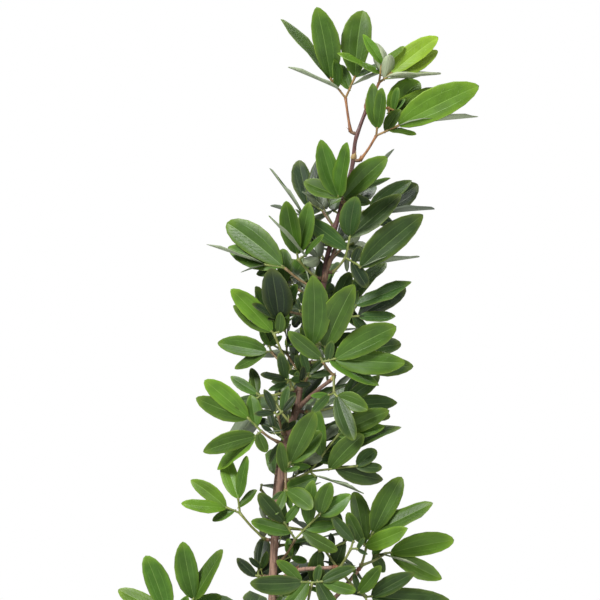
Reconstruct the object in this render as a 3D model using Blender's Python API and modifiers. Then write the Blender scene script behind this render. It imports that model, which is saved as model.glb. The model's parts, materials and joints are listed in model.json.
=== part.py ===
"""Potted surinam powderpuff: a young shrub with forked leaves, standing in a plain round growing pot.

Metres, +Z up. The origin is the centre of the pot's flat underside, and the plant's front faces -Y.
The trunk stands on the potting mix, boughs leave the trunk, and each mass of foliage is one solid:
a stem that meets its limb, with leaves on it. A leaf's stalk forks into two ribs, and each rib ends
in a pair of large blades with smaller ones below them.
Bearings are degrees as seen from the front: 0 is right, 90 up and 180 left.
"""

import math
import random
from typing import NamedTuple

import bmesh
import bpy
from mathutils import Matrix, Quaternion, Vector
from mathutils.bvhtree import BVHTree

MM = 0.001
GAP = 0.3 * MM  # left between two solids that meet
FRONT = Vector((0, -1, 0))
UP = Vector((0, 0, 1))

# Pot: a turned shell with a turned-out rim
POT_HEIGHT = 225 * MM
POT_FOOT_RADIUS = 88 * MM
POT_MOUTH_RADIUS = 114 * MM
POT_WALL = 3 * MM
POT_FLOOR = 4 * MM
RIM_HEIGHT = 16 * MM
RIM_PROUD = 4 * MM
POT_STEPS = 44
DRAIN_HOLES = 5
DRAIN_RADIUS = 6 * MM
DRAIN_CIRCLE = 62 * MM

SOIL_TOP = 205 * MM

# Trunk: its route in mm, from the mix to its tip, and its radii
TRUNK_ROUTE = (
    (-1, 0, 205),
    (-1, 0, 215),
    (-5, 3, 290),
    (-1, 2, 390),
    (1, 0, 450),
    (4, -2, 492),
    (9, -2, 530),
    (18, 2, 562),
    (22, 4, 592),
    (34, 3, 631),
    (38, 0, 662),
    (47, -2, 695),
    (56, 0, 728),
    (58.5, 0, 747),
    (66, 1, 768),
)
TRUNK_BASE_RADIUS = 3.8 * MM
TRUNK_TIP_RADIUS = 1.25 * MM
TRUNK_SIDES = 8
BOUGH_SIDES = 6
TWIG_SIDES = 3
FLARE = 3.4 * MM  # added to the radius where the trunk meets the mix
FLARE_HEIGHT = 26 * MM
ROUTE_STEPS = 2  # stretches between two points of a limb's route

# Leaves
STALK_RADIUS = 1.1 * MM
RIB_RADIUS = 0.75 * MM
COLLAR = 2.5 * MM  # how far a stem leaves its limb straight out
BLADE_WIDTH = 0.37  # of a blade's length
SMALL_BLADE_WIDTH = 0.50
BLADE_THICKNESS = 0.020  # of a blade's length, at its middle
BLADE_ROOT = 2.4 * MM  # how far a blade's root is sunk in its rib
BLADE_STEP = 0.35 * MM  # how far the blades of a pair stand off each side of their rib's line
BLADE_CURL = 0.05  # how far its tip falls back, of its length
BLADE_FOLD = 0.07  # rise of its margins from its midrib, of its width
BLADE_MIDDLE = 0.45
SEEN_OUTLINE = ((0.16, 0.52), (0.48, 1.0), (0.82, 0.76))  # a blade's edge: how far along, how far out
PLAIN_OUTLINE = ((0.34, 0.90), (0.76, 0.86))
BLADE_SWAY = 15  # degrees that a blade leans to the front or back of its leaf
SMALL_BLADE = 0.44  # a blade low on a rib, as a share of the rib's longest
ROOM = 0.35 * MM  # clear space that a blade keeps all round
JOIN_FACES = 1.2  # a fused mass is thinned to this share of its pieces' faces, or to as much more
JOIN_FACES_STEP = 0.05  # by this step as keeps its faces from crossing
SHIFTS = (0, 3, -3, 6, -6, 10, -10)  # mm up or down the trunk, tried where a stem has no room
TURNS = (0, 9, -9, 18, -18, 28, -28, 40, -40, 55, -55)  # degrees tried where a leaf has no room


class Bough(NamedTuple):
    """A side limb. Its route in mm starts on the trunk's centreline."""

    route: tuple
    base_radius: float
    tip_radius: float


class Leaf(NamedTuple):
    """A leaf of a mass. A rib is its bearing, its length and then its blades, the first two at its tip.

    A blade is its bearing, its length as seen from the front, the degrees that it is turned from
    facing the front (towards edge-on where above 0, underside first where below) and, where it
    isn't of the common width, how many times as broad it is.
    """

    bearing: float  # of the fork from the limb
    toward: float  # degrees that the stalk leans to the front
    stalk: float  # mm from the limb's centreline to the fork
    lean: float  # degrees that the blades lean to the front
    ribs: tuple


class Mass(NamedTuple):
    """One solid of foliage: its limb, the height in mm where it leaves the trunk, and its leaves."""

    limb: str
    height: float
    leaves: tuple


BOUGHS = {
    "bough_upper_right": Bough(((17, 2, 558), (25, -3, 566), (33, -7, 573), (41, -9, 579)), 1.8, 1.2),
    "bough_lower_right": Bough(((1, 1, 436), (16, -8, 446), (29, -12, 448), (42, -15, 449)), 1.8, 1.25),
    "bough_low_right": Bough(((-1, 2, 392), (24, 6, 409), (45, 6, 427), (60, 4, 445)), 2.2, 1.3),
    "bough_low_left": Bough(((-3, 3, 342), (-24, -3, 364), (-42, -7, 384), (-53, -8, 400)), 2.4, 1.4),
    "bough_low_front": Bough(((-4, 2, 322), (4, -22, 342), (12, -42, 366), (16, -54, 392)), 2.4, 1.4),
    "bough_low_back": Bough(((-5, 3, 306), (-8, 26, 330), (-14, 48, 356), (-18, 58, 384)), 2.4, 1.4),
    "bough_middle_back": Bough(((3, -1, 478), (2, 16, 496), (4, 32, 516), (8, 42, 538)), 2.1, 1.3),
}

# Masses on the side that the photograph shows, from the top down
SEEN = {
    "leaves_top": Mass("trunk", 0, (
        Leaf(65, 5, 21, 12, (
            (81, 14, (123, 24, 30), (42, 20, 45), (152, 33, 66), (100, 21, 20)),
            (36, 12, (39, 41, 16), (28, 37, 10), (80, 18, 10), (6, 36, 80), (10, 48, 78)),
        )),
        Leaf(4, 8, 16, 0, (
            (-90, 3, (46, 41, 2, 1.2), (26, 42, 20)),
            (-20, 4, (82, 16, 16), (48, 11, 24)),
        )),
    )),
    "leaves_upper_left": Mass("trunk", 751, (
        Leaf(108, -6, 27, 4, (
            (128, 18, (128, 54, 62), (101, 49, 6), (154, 39, 80), (93, 20, 40)),
            (66, 17, (84, 45, 0, 1.25), (31, 24, 55), (108, 20, 10), (27, 40, 84)),
        )),
    )),
    "leaves_upper_right": Mass("trunk", 733, (
        Leaf(46, 14, 24, 10, (
            (24, 18, (26, 61, 0), (11, 60, 78), (57, 18, 10), (-7, 19, 60)),
            (84, 6, (95, 31, 0), (85, 31, 40)),
        )),
    )),
    "leaves_neck_front": Mass("trunk", 703, (
        Leaf(70, 66, 12, 30, (
            (180, 6, (107, 40, 8), (84, 39, 50), (158, 26, 30)),
            (-90, 2, (44, 39, 10), (27, 33, 66), (-12, 15, 20)),
        )),
    )),
    "leaves_neck_right": Mass("trunk", 694, (
        Leaf(11, -50, 29, -22, (
            (10, 6, (31, 41, 8), (40, 37, 30)),
            (-12, 12, (10, 40, 72), (62, 24, 20)),
        )),
    )),
    "leaves_neck_left": Mass("trunk", 684, (
        Leaf(156, -46, 30, -24, (
            (78, 9, (103, 36, 10), (80, 37, 28)),
            (150, 3, (123, 43, 78), (157, 25, 78)),
        )),
    )),
    "leaves_shoulder_left": Mass("trunk", 650, (
        Leaf(144, 20, 24, 14, (
            (100, 5, (102, 36, 0), (77, 36, 10)),
            (30, 6, (51, 19, 55), (130, 46, 78)),
        )),
    )),
    "leaves_far_left": Mass("trunk", 642, (
        Leaf(150, -8, 31, -6, (
            (140, 3, (142, 50, 0, 1.1), (160, 43, 18)),
            (170, 15, (159, 43, 74), (194, 18, 82), (200, 16, 20)),
        )),
    )),
    "leaves_shoulder_right": Mass("trunk", 655, (
        Leaf(34, 18, 18, 8, (
            (-30, 13, (40, 57, 0), (13, 46, 74), (-58, 21, 20), (70, 12, 10)),
            (78, 16, (82, 33, 0, 1.25), (42, 47, 26), (143, 35, 16)),
        )),
    )),
    "leaves_waist_left": Mass("trunk", 623, (
        Leaf(168, 8, 22, 34, (
            (223, 9, (99, 34, -8, 1.3), (150, 20, 40)),
            (90, 8, (121, 18, 10), (60, 16, 24)),
        )),
    )),
    "leaves_waist_right": Mass("trunk", 613.5, (
        Leaf(20, -12, 28, -8, (
            (8, 7, (30, 40, 0), (2, 26, 30)),
            (60, 10, (24, 42, 44), (88, 13, 20)),
            (140, 14, (65, 26, 12, 1.15), (100, 12, 20), (30, 10, 20)),
        )),
    )),
    "leaves_waist_front": Mass("trunk", 603, (
        Leaf(10, 58, 15, 26, (
            (180, 6, (89, 46, 0), (124, 14, 24)),
            (-20, 5, (66, 46, 14), (28, 20, 14), (-30, 18, 10)),
        )),
    )),
    "leaves_middle_left": Mass("trunk", 582, (
        Leaf(123, 8, 35.5, 2, (
            (135, 3, (134, 40, 2), (145, 31, 14)),
            (20, 8, (116, 23, 14), (98, 25, 20), (84, 16, 24)),
        )),
        Leaf(142, -22, 29, -12, (
            (180, 4, (170, 36, 4), (205, 26, 38)),
            (110, 5, (120, 13, 10), (40, 12, 20)),
        )),
    )),
    "leaves_middle_right": Mass("bough_upper_right", 0, (
        Leaf(113, 20, 15, 14, (
            (15, 10, (28, 46, 0, 1.1), (-3, 48, 10), (80, 14, 10), (-24, 38, 45)),
            (120, 4, (141, 28, 4), (80, 14, 10)),
        )),
        Leaf(-76, 34, 11, 24, (
            (-45, 4, (-69, 31, 0), (-22, 22, 6, 1.4)),
            (200, 5, (226, 16, 20), (180, 12, 14)),
        )),
    )),
    "leaves_middle_right_back": Mass("trunk", 592, (
        Leaf(7, -30, 36, -20, (
            (10, 4, (12, 36, 10), (-4, 34, 24)),
            (-30, 7, (28, 30, 20), (-6, 41, 12)),
        )),
    )),
    "leaves_heart_upper": Mass("trunk", 577, (
        Leaf(40, 52, 11, 30, (
            (80, 4, (108, 16, 10), (41, 15, 20)),
            (10, 3, (8, 14, 26), (-30, 12, 16)),
        )),
    )),
    "leaves_heart_left": Mass("trunk", 571, (
        Leaf(130, 30, 12, 30, (
            (170, 4, (166, 17, 40), (101, 18, 2)),
            (220, 4, (200, 13, 10), (104, 12, 12)),
        )),
        Leaf(188, -34, 33, -16, (
            (150, 4, (147, 22, 16), (101, 19, 8)),
            (210, 4, (190, 15, 20), (225, 14, 22)),
        )),
    )),
    "leaves_heart_right": Mass("trunk", 558, (
        Leaf(6, -20, 34, -6, (
            (-10, 6, (4, 34, 6), (-14, 30, 14)),
            (50, 6, (34, 28, 10), (64, 20, 12)),
        )),
    )),
    "leaves_heart_small": Mass("trunk", 540, (
        Leaf(117, 34, 20, 18, (
            (140, 4, (113, 17, 10), (184, 13, 22)),
            (40, 5, (52, 14, 8), (78, 17, 16)),
        )),
    )),
    "leaves_side_left": Mass("trunk", 534, (
        Leaf(152, 6, 20, 2, (
            (135, 14, (139, 39, 0), (158, 38, 18), (99, 22, 10)),
            (220, 6, (196, 37, 0), (218, 36, 46), (-66, 14, 12, 1.2)),
        )),
    )),
    "leaves_heart_front": Mass("trunk", 517, (
        Leaf(38, 60, 12, 30, (
            (50, 3, (65, 38, 0), (47, 28, 26, 1.2)),
            (240, 6, (98, 20, 14), (16, 9, 20)),
        )),
        Leaf(-79, 45, 20, 30, (
            (-30, 2, (-33, 20, 10, 1.3), (-78, 12, 24)),
            (-120, 2, (-113, 16, 14), (-150, 9, 24)),
        )),
    )),
    "leaves_side_right": Mass("trunk", 510, (
        Leaf(15, 16, 22, 6, (
            (52, 34, (25, 38, 0), (12, 32, 30), (97, 33, 2), (19, 55, 52), (7, 16, 20)),
            (7, 34, (40, 17, 10, 1.7), (-2, 18, 20, 1.2), (47, 36, 0, 1.15), (-14, 34, 8)),
            (-40, 6, (-15, 35, 80), (202, 24, 6, 1.3)),
        )),
    )),
    "leaves_lower_right": Mass("trunk", 476, (
        Leaf(-1, -16, 52, 2, (
            (140, 5, (178, 22, 8, 1.2), (132, 17, 12)),
            (10, 4, (22, 12, 20), (-50, 10, 14)),
        )),
    )),
    "leaves_lower_left": Mass("trunk", 467, (
        Leaf(142, 4, 31, 0, (
            (157, 11, (143, 31, 2), (172, 31, 40), (203, 17, 40)),
            (97, 11, (108, 32, 4), (82, 30, 46), (46, 17, 46)),
        )),
    )),
    "leaves_lower_front": Mass("trunk", 452, (
        Leaf(48, 36, 28, 16, (
            (122, 15.5, (130, 28, 0), (52, 17, 12), (163, 28, 24)),
            (47, 27, (72, 22, 0, 1.5), (33, 23, 12, 1.35), (8, 22, 14, 0.8), (86, 31, 10), (-28, 27, 12)),
        )),
    )),
    "leaves_base_right": Mass("bough_low_right", 0, (
        Leaf(70, 2, 18, 4, (
            (65, 12, (63, 43, 0, 1.1), (30, 46, 46), (47, 31, 58)),
            (130, 3, (117, 25, 8), (100, 37, 14), (27, 36, 24)),
        )),
        Leaf(31, -12, 24, -8, (
            (5, 4, (11, 45, 2), (-27, 41, 30)),
            (193, 9, (56, 18, 8, 1.2), (-56, 15, 14, 1.5), (-12, 30, 72)),
        )),
    )),
    "leaves_base_middle": Mass("bough_lower_right", 0, (
        Leaf(-41, 8, 31, 10, (
            (10, 5, (30, 33, 0), (-3, 54, 6, 0.95)),
            (-80, 9, (-40, 36, 20), (-74, 28, 12)),
            (140, 6, (52, 24, 14, 1.1), (105, 13, 20)),
        )),
        Leaf(46, 12, 19, 6, (
            (74, 6, (130, 23, 10), (104, 12, 16)),
            (2, 5, (60, 9, 10), (-30, 8, 20)),
        )),
        Leaf(112, -16, 13, -14, (
            (190, 5, (-91, 25, 6, 1.25), (-60, 10, 20)),
            (22, 15, (-110, 25, 8, 1.15), (60, 12, 14), (100, 10, 20)),
        )),
    )),
    "leaves_base_left": Mass("trunk", 441, (
        Leaf(176, -20, 11, -10, (
            (88, 6, (79, 21, 4, 1.5), (126, 9, 30)),
            (180, 2, (137, 18, 16, 1.2), (29, 29, 18, 1.1)),
        )),
    )),
    "leaves_corner_left": Mass("bough_low_left", 0, (
        Leaf(128, 0, 16, 0, (
            (160, 11, (110, 43, 0, 1.1), (154, 39, 24), (60, 17, 10)),
            (60, 17, (101, 40, 2, 1.1), (63, 40, 50, 1.2), (22, 26, 10)),
        )),
        Leaf(212, 12, 20, 6, (
            (190, 8, (174, 42, 8), (203, 44, 16)),
            (250, 8, (232, 40, 4), (264, 34, 22)),
        )),
    )),
    "leaves_low_front": Mass("bough_low_front", 0, (
        Leaf(77, 10, 53, 14, (
            (175, 8, (180, 34, 0, 1.05), (138, 22, 8), (232, 30, 14)),
            (8, 8, (24, 24, 8), (-15, 22, 14), (80, 12, 10), (-58, 30, 12)),
        )),
        Leaf(196, 26, 22, 14, (
            (165, 9, (150, 38, 10), (186, 42, 16)),
            (225, 9, (212, 36, 8), (246, 34, 20)),
        )),
        Leaf(-14, 30, 24, 14, (
            (20, 9, (34, 36, 10), (2, 42, 16)),
            (-40, 9, (-30, 38, 8), (-62, 32, 20)),
        )),
    )),
}

# Masses that the photograph doesn't show: how high, which way round the trunk (0 is right and 90 the
# back), degrees above level, and how far left and right of the trunk their blades may reach in mm.
HIDDEN = {
    "leaves_back_neck": ("trunk", 686, 96, 40, 30, 30),
    "leaves_back_shoulder": ("trunk", 660, 78, 34, 36, 36),
    "leaves_back_waist_left": ("trunk", 634, 112, 30, 44, 44),
    "leaves_back_waist_right": ("trunk", 610, 70, 30, 46, 46),
    "leaves_back_middle": ("trunk", 584, 100, 26, 48, 48),
    "leaves_back_heart": ("bough_middle_back", 0, 90, 34, 50, 50),
    "leaves_back_side_left": ("trunk", 549, 98, 26, 14, 48),
    "leaves_back_side_right": ("trunk", 524, 62, 24, 12, 54),
    "leaves_back_lower_left": ("trunk", 488, 94, 26, 9, 44),
    "leaves_back_lower_right": ("trunk", 462, 66, 20, 14, 76),
    "leaves_back_base": ("trunk", 424, 80, 16, 14, 84),
    "leaves_low_back": ("bough_low_back", 0, 100, 24, 200, 200),
    "leaves_low_left": ("trunk", 378, 176, 2, 200, 200),
    "leaves_low_right_front": ("trunk", 408, -44, 4, 200, 200),
    "leaves_low_left_back": ("trunk", 360, 132, 2, 200, 200),
    "leaves_low_right_back": ("trunk", 354, 40, 8, 200, 200),
    "leaves_low_left_front": ("trunk", 340, -128, 8, 200, 200),
    "leaves_low_right": ("trunk", 326, -10, 8, 200, 200),
}
LOW_CEILING = 424 * MM  # the low masses' blades end below this height, which the photograph's foot shows
HIDDEN_STALK = 20  # mm
HIDDEN_RIB = 12  # mm
HIDDEN_BLADE = 48  # mm
HIDDEN_SPLIT = 36  # degrees from a leaf's line to each rib
HIDDEN_SPREAD = 27  # degrees from a rib to each large blade


def bent_route(points, steps=ROUTE_STEPS):
    """A smooth line through the points, which are in mm."""
    knots = [Vector(p) * MM for p in points]
    knots = [knots[0] * 2 - knots[1], *knots, knots[-1] * 2 - knots[-2]]
    line = []
    for a, b, c, d in zip(knots, knots[1:], knots[2:], knots[3:]):
        for step in range(steps):
            t = step / steps
            line.append(
                b + ((c - a) * t + (a * 2 - b * 5 + c * 4 - d) * t * t + (b * 3 - a - c * 3 + d) * t**3) / 2
            )
    line.append(knots[-2])
    return line


def directions(line):
    """The way that a line runs at each of its points."""
    ahead = [(b - a).normalized() for a, b in zip(line, line[1:])]
    return [ahead[0]] + [(a + b).normalized() for a, b in zip(ahead, ahead[1:])] + [ahead[-1]]


def grow_tube(mesh, line, radii, sides, ways=None):
    """Runs a ring of so many sides along the line, closed at both ends."""
    ways = ways or directions(line)
    turn = UP.rotation_difference(ways[0])
    frame = Matrix.Translation(line[0]) @ turn.to_matrix().to_4x4() @ Matrix.Scale(radii[0], 4)
    ring = bmesh.ops.create_circle(mesh, cap_ends=True, segments=sides, radius=1, matrix=frame)
    face = ring["verts"][0].link_faces[0]
    face.normal_update()
    if face.normal.dot(ways[0]) < 0:
        face.normal_flip()
    for step in range(1, len(line)):
        turn = ways[step - 1].rotation_difference(ways[step]) @ turn
        ahead = Matrix.Translation(line[step]) @ turn.to_matrix().to_4x4() @ Matrix.Scale(radii[step], 4)
        made = bmesh.ops.extrude_face_region(mesh, geom=[face])["geom"]
        if step > 1:
            bmesh.ops.delete(mesh, geom=[face], context="FACES_ONLY")
        corners = [part for part in made if isinstance(part, bmesh.types.BMVert)]
        bmesh.ops.transform(mesh, matrix=ahead @ frame.inverted(), verts=corners)
        face = next(part for part in made if isinstance(part, bmesh.types.BMFace))
        frame = ahead


def closed_mesh(name, build):
    """A mesh that the function fills, with its faces turned outwards."""
    form = bmesh.new()
    build(form)
    bmesh.ops.recalc_face_normals(form, faces=form.faces[:])
    bmesh.ops.triangulate(form, faces=[face for face in form.faces if len(face.verts) > 4])
    mesh = bpy.data.meshes.new(name)
    form.to_mesh(mesh)
    form.free()
    return mesh


def place(name, mesh, home):
    """An object of the mesh in the collection."""
    item = bpy.data.objects.new(name, mesh)
    home.objects.link(item)
    return item


def paint(item, name, colour, roughness):
    """Gives the object a material of its own."""
    look = bpy.data.materials.new(name)
    look.use_nodes = True
    surface = look.node_tree.nodes["Principled BSDF"]
    surface.inputs["Base Color"].default_value = (*colour, 1)
    surface.inputs["Roughness"].default_value = roughness
    item.data.materials.clear()
    item.data.materials.append(look)


def surfaces(item):
    """A search tree of the object's faces."""
    form = bmesh.new()
    form.from_mesh(item.data)
    tree = BVHTree.FromBMesh(form)
    form.free()
    return tree


def turned(profile, name, home):
    """A solid of revolution of a profile given as radius and height, from its top to its foot."""
    form = bmesh.new()
    corners = [form.verts.new((radius, 0, height)) for radius, height in profile]
    for a, b in zip(corners, corners[1:]):
        form.edges.new((a, b))
    mesh = bpy.data.meshes.new(name)
    form.to_mesh(mesh)
    form.free()
    item = place(name, mesh, home)
    turn = item.modifiers.new("turn", "SCREW")
    turn.axis = "Z"
    turn.steps = POT_STEPS
    turn.render_steps = POT_STEPS
    turn.use_merge_vertices = True
    turn.merge_threshold = 0.00001
    turn.use_smooth_shade = False
    apply_modifiers(item)
    form = bmesh.new()
    form.from_mesh(item.data)
    bmesh.ops.recalc_face_normals(form, faces=form.faces[:])
    form.to_mesh(item.data)
    form.free()
    return item


def outer_radius(height):
    """The pot's outer radius at a height, below its rim."""
    return POT_FOOT_RADIUS + (POT_MOUTH_RADIUS - POT_FOOT_RADIUS) * height / POT_HEIGHT


def apply_modifiers(item):
    """Turns the object's modifiers into mesh."""
    graph = bpy.context.evaluated_depsgraph_get()
    mesh = bpy.data.meshes.new_from_object(item.evaluated_get(graph))
    old = item.data
    item.modifiers.clear()
    item.data = mesh
    bpy.data.meshes.remove(old)


def make_pot(home, cutters):
    """The pot, with drain holes through its floor."""
    rim_foot = POT_HEIGHT - RIM_HEIGHT
    pot = turned(
        (
            (0, POT_FLOOR),
            (outer_radius(POT_FLOOR) - POT_WALL, POT_FLOOR),
            (POT_MOUTH_RADIUS - POT_WALL, POT_HEIGHT - 1 * MM),
            (POT_MOUTH_RADIUS - POT_WALL + 1 * MM, POT_HEIGHT),
            (POT_MOUTH_RADIUS + RIM_PROUD - 2 * MM, POT_HEIGHT),
            (POT_MOUTH_RADIUS + RIM_PROUD, POT_HEIGHT - 2 * MM),
            (outer_radius(rim_foot) + RIM_PROUD, rim_foot + 2 * MM),
            (outer_radius(rim_foot), rim_foot),
            (outer_radius(2 * MM), 2 * MM),
            (POT_FOOT_RADIUS - 2 * MM, 0),
            (0, 0),
        ),
        "pot",
        home,
    )
    form = bmesh.new()
    for turn in range(DRAIN_HOLES):
        angle = math.tau * (turn + 0.5) / DRAIN_HOLES
        spot = (DRAIN_CIRCLE * math.cos(angle), DRAIN_CIRCLE * math.sin(angle), POT_FLOOR / 2)
        bmesh.ops.create_cone(
            form,
            cap_ends=True,
            segments=10,
            radius1=DRAIN_RADIUS,
            radius2=DRAIN_RADIUS,
            depth=POT_FLOOR * 3,
            matrix=Matrix.Translation(spot),
        )
    mesh = bpy.data.meshes.new("drain_cutter")
    form.to_mesh(mesh)
    form.free()
    cutter = place("drain_cutter", mesh, cutters)
    cutter.hide_render = True
    cutter.display_type = "WIRE"
    cut = pot.modifiers.new("drain", "BOOLEAN")
    cut.operation = "DIFFERENCE"
    cut.solver = "EXACT"
    cut.object = cutter
    apply_modifiers(pot)
    paint(pot, "pot_plastic", (0.035, 0.036, 0.036), 0.55)
    return pot


def make_soil(home):
    """The potting mix, which fills the pot up to its top."""
    low = POT_FLOOR + GAP
    foot = outer_radius(low) - POT_WALL - GAP * 1.3
    top = outer_radius(SOIL_TOP) - POT_WALL - GAP * 1.3
    soil = turned(((0, SOIL_TOP), (top, SOIL_TOP), (foot, low), (0, low)), "soil", home)
    paint(soil, "potting_mix", (0.05, 0.03, 0.018), 0.95)
    return soil


class Limb:
    """A trunk or bough: its centreline, its radii and the object made from them."""

    def __init__(self, name, route, base_radius, tip_radius, sides, home, trunk=None):
        self.line = bent_route(route)
        lengths = [0.0]
        for a, b in zip(self.line, self.line[1:]):
            lengths.append(lengths[-1] + (b - a).length)
        share = [part / lengths[-1] for part in lengths]
        self.radii = [base_radius + (tip_radius - base_radius) * part for part in share]
        if trunk is None:
            foot = self.line[0].z + GAP
            self.line[0].z = foot
            for step, spot in enumerate(self.line):
                height = max(0.0, spot.z - foot)
                self.radii[step] += FLARE * math.exp(-3 * height / FLARE_HEIGHT)
        self.ways = directions(self.line)
        if trunk is None:
            self.ways[0] = UP.copy()
        else:
            centre, radius, _ = trunk.at(self.line[0].z / MM)
            out = self.line[1] - centre
            out -= out.project(trunk.at(self.line[0].z / MM)[2])
            out.normalize()
            start = self.line[1].copy()
            for spot in self.line:
                away = spot - trunk.at(spot.z / MM)[0]
                if away.length > radius + GAP + base_radius:
                    start = spot
                    break
            step = self.line.index(start) if start in self.line else 1
            self.line = [centre + out * (radius + GAP)] + self.line[step:]
            self.radii = [self.radii[0]] + self.radii[step:]
            self.ways = directions(self.line)
            self.ways[0] = out
        self.object = place(
            name,
            closed_mesh(name, lambda form: grow_tube(form, self.line, self.radii, sides, self.ways)),
            home,
        )
        self.tree = surfaces(self.object)

    def at(self, height):
        """The centre, radius and way of the limb at a height in mm."""
        height *= MM
        for step, (a, b) in enumerate(zip(self.line, self.line[1:])):
            if a.z <= height <= b.z:
                part = (height - a.z) / max(b.z - a.z, 1e-9)
                radius = self.radii[step] + (self.radii[step + 1] - self.radii[step]) * part
                return a.lerp(b, part), radius, (b - a).normalized()
        end = 0 if height < self.line[0].z else -1
        return self.line[end].copy(), self.radii[end], self.ways[end]


def heading(bearing, lean):
    """The way of a bearing seen from the front, leaned to the front by so many degrees."""
    angle = math.radians(bearing)
    flat = Vector((math.cos(angle), 0, math.sin(angle)))
    lean = math.radians(lean)
    return flat * math.cos(lean) + FRONT * math.sin(lean)


def faced(way, toward, twist):
    """A blade's upward normal: square to its way, facing as given, then turned round its way."""
    normal = (toward - toward.project(way)).normalized()
    both = [Quaternion(way, math.radians(sign * abs(twist))) @ normal for sign in (1, -1)]
    both.sort(key=lambda n: n.dot(UP + way * 0.2))
    return both[1] if twist >= 0 else both[0]


def blade_form(form, root, way, normal, length, width, slant, outline=SEEN_OUTLINE):
    """Adds a blade: a thin lens, folded along its midrib, with its tip falling back."""
    around = 2 * len(outline) + 2
    made = bmesh.ops.create_uvsphere(form, u_segments=around, v_segments=2, radius=1)["verts"]
    side = normal.cross(way)
    for corner in made:
        if abs(corner.co.z) > 0.5:
            along = BLADE_MIDDLE
            across = 0
            rise = math.copysign(BLADE_THICKNESS * length / 2, corner.co.z)
        else:
            angle = math.atan2(corner.co.y, corner.co.x)
            step = round(abs(angle) / math.tau * around)
            along, across = ((0, 0), *outline, (1, 0))[step]
            across *= math.copysign(width / 2, angle) * (1 + slant * math.copysign(1, angle))
            rise = BLADE_FOLD * abs(across) * 2
        rise -= BLADE_CURL * length * along * along
        corner.co = root + way * (along * length) + side * across + normal * rise
    return made


def test_tree(build):
    """A search tree of whatever the function builds."""
    form = bmesh.new()
    build(form)
    tree = BVHTree.FromBMesh(form)
    form.free()
    return tree


def roomy_blade(form, root, way, normal, length, width, slant, outline):
    """A blade with the clear space that it keeps, for finding what it touches."""
    part = 0.16 * length
    spot = root + way * part
    made = blade_form(form, spot, way, normal, length - part + ROOM, width + 2 * ROOM, slant, outline)
    centre = spot + way * length * 0.4
    for corner in made:
        above = (corner.co - centre).dot(normal)
        corner.co += normal * math.copysign(ROOM, above)


class Growth:
    """Grows one mass, keeping clear of all that grew before it."""

    def __init__(self, name, taken, inside=None):
        self.name = name
        self.taken = taken
        self.inside = inside or (lambda spot: True)
        self.pieces = []
        self.own = []
        self.count = 0

    def hits(self, tree, others_only=False):
        """Whether the tree's faces cross anything."""
        known = self.taken if others_only else self.taken + self.own
        return any(tree.overlap(other) for other in known)

    def twig(self, line, radii, ways=None):
        """Adds a twig or stalk, or tells that there is no room for it."""

        def wide(form):
            grow_tube(form, line[:1] + line[1:], [r + ROOM * 0.5 for r in radii], TWIG_SIDES, ways)

        if self.hits(test_tree(wide), others_only=True):
            return False
        mesh = closed_mesh("twig", lambda form: grow_tube(form, line, radii, TWIG_SIDES, ways))
        self.pieces.append(mesh)
        return True

    def blade(self, root, way, normal, length, small, slant, pivot, outline, broad=1):
        """Adds a blade. Where it has no room it is turned about the pivot axis, then left out."""
        width = length * (SMALL_BLADE_WIDTH if small else BLADE_WIDTH) * broad
        for turn in TURNS:
            spin = Quaternion(pivot, math.radians(turn))
            new_way = spin @ way
            new_normal = spin @ normal
            if not self.inside(root + new_way * length):
                continue
            start = root - new_way * BLADE_ROOT
            size = (start, new_way, new_normal, length + BLADE_ROOT, width, slant, outline)
            room = test_tree(lambda form: roomy_blade(form, *size))
            full = test_tree(lambda form: blade_form(form, *size))
            if not self.hits(room) and not self.hits(full, others_only=True):
                self.pieces.append(closed_mesh("blade", lambda form: blade_form(form, *size)))
                self.own.append(full)
                self.count += 1
                return True
        return False


def stem_line(limb, height, way):
    """A stem's root on its limb, at a height or at the tip, the way it leaves, and the limb's centre."""
    if height:
        centre, radius, along = limb.at(height)
        out = (way - way.project(along)).normalized()
        return centre + out * (radius + GAP), out, centre
    return limb.line[-1] + limb.ways[-1] * GAP, limb.ways[-1].copy(), limb.line[-1]


def grow_stalk(growth, node, fork):
    """A stalk from the stem's node to a leaf's fork, sagging a little."""
    way = (fork - node).normalized()
    bow = node.lerp(fork, 0.5) - UP * 0.05 * (fork - node).length
    radii = [STALK_RADIUS, STALK_RADIUS * 0.9, STALK_RADIUS * 0.85]
    return growth.twig([node - way * 1.2 * MM, bow, fork], radii)


def grow_stem(growth, start, out, way):
    """The short stem of a mass, whose far end is the node that its stalks leave."""
    knee = start + out * COLLAR
    node = knee + (way + out * 0.4).normalized() * 2 * MM
    ways = [out, (out + way).normalized(), way]
    radii = [STALK_RADIUS * 1.15, STALK_RADIUS * 1.15, STALK_RADIUS]
    return growth.twig([start, knee, node], radii, ways), node


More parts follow.
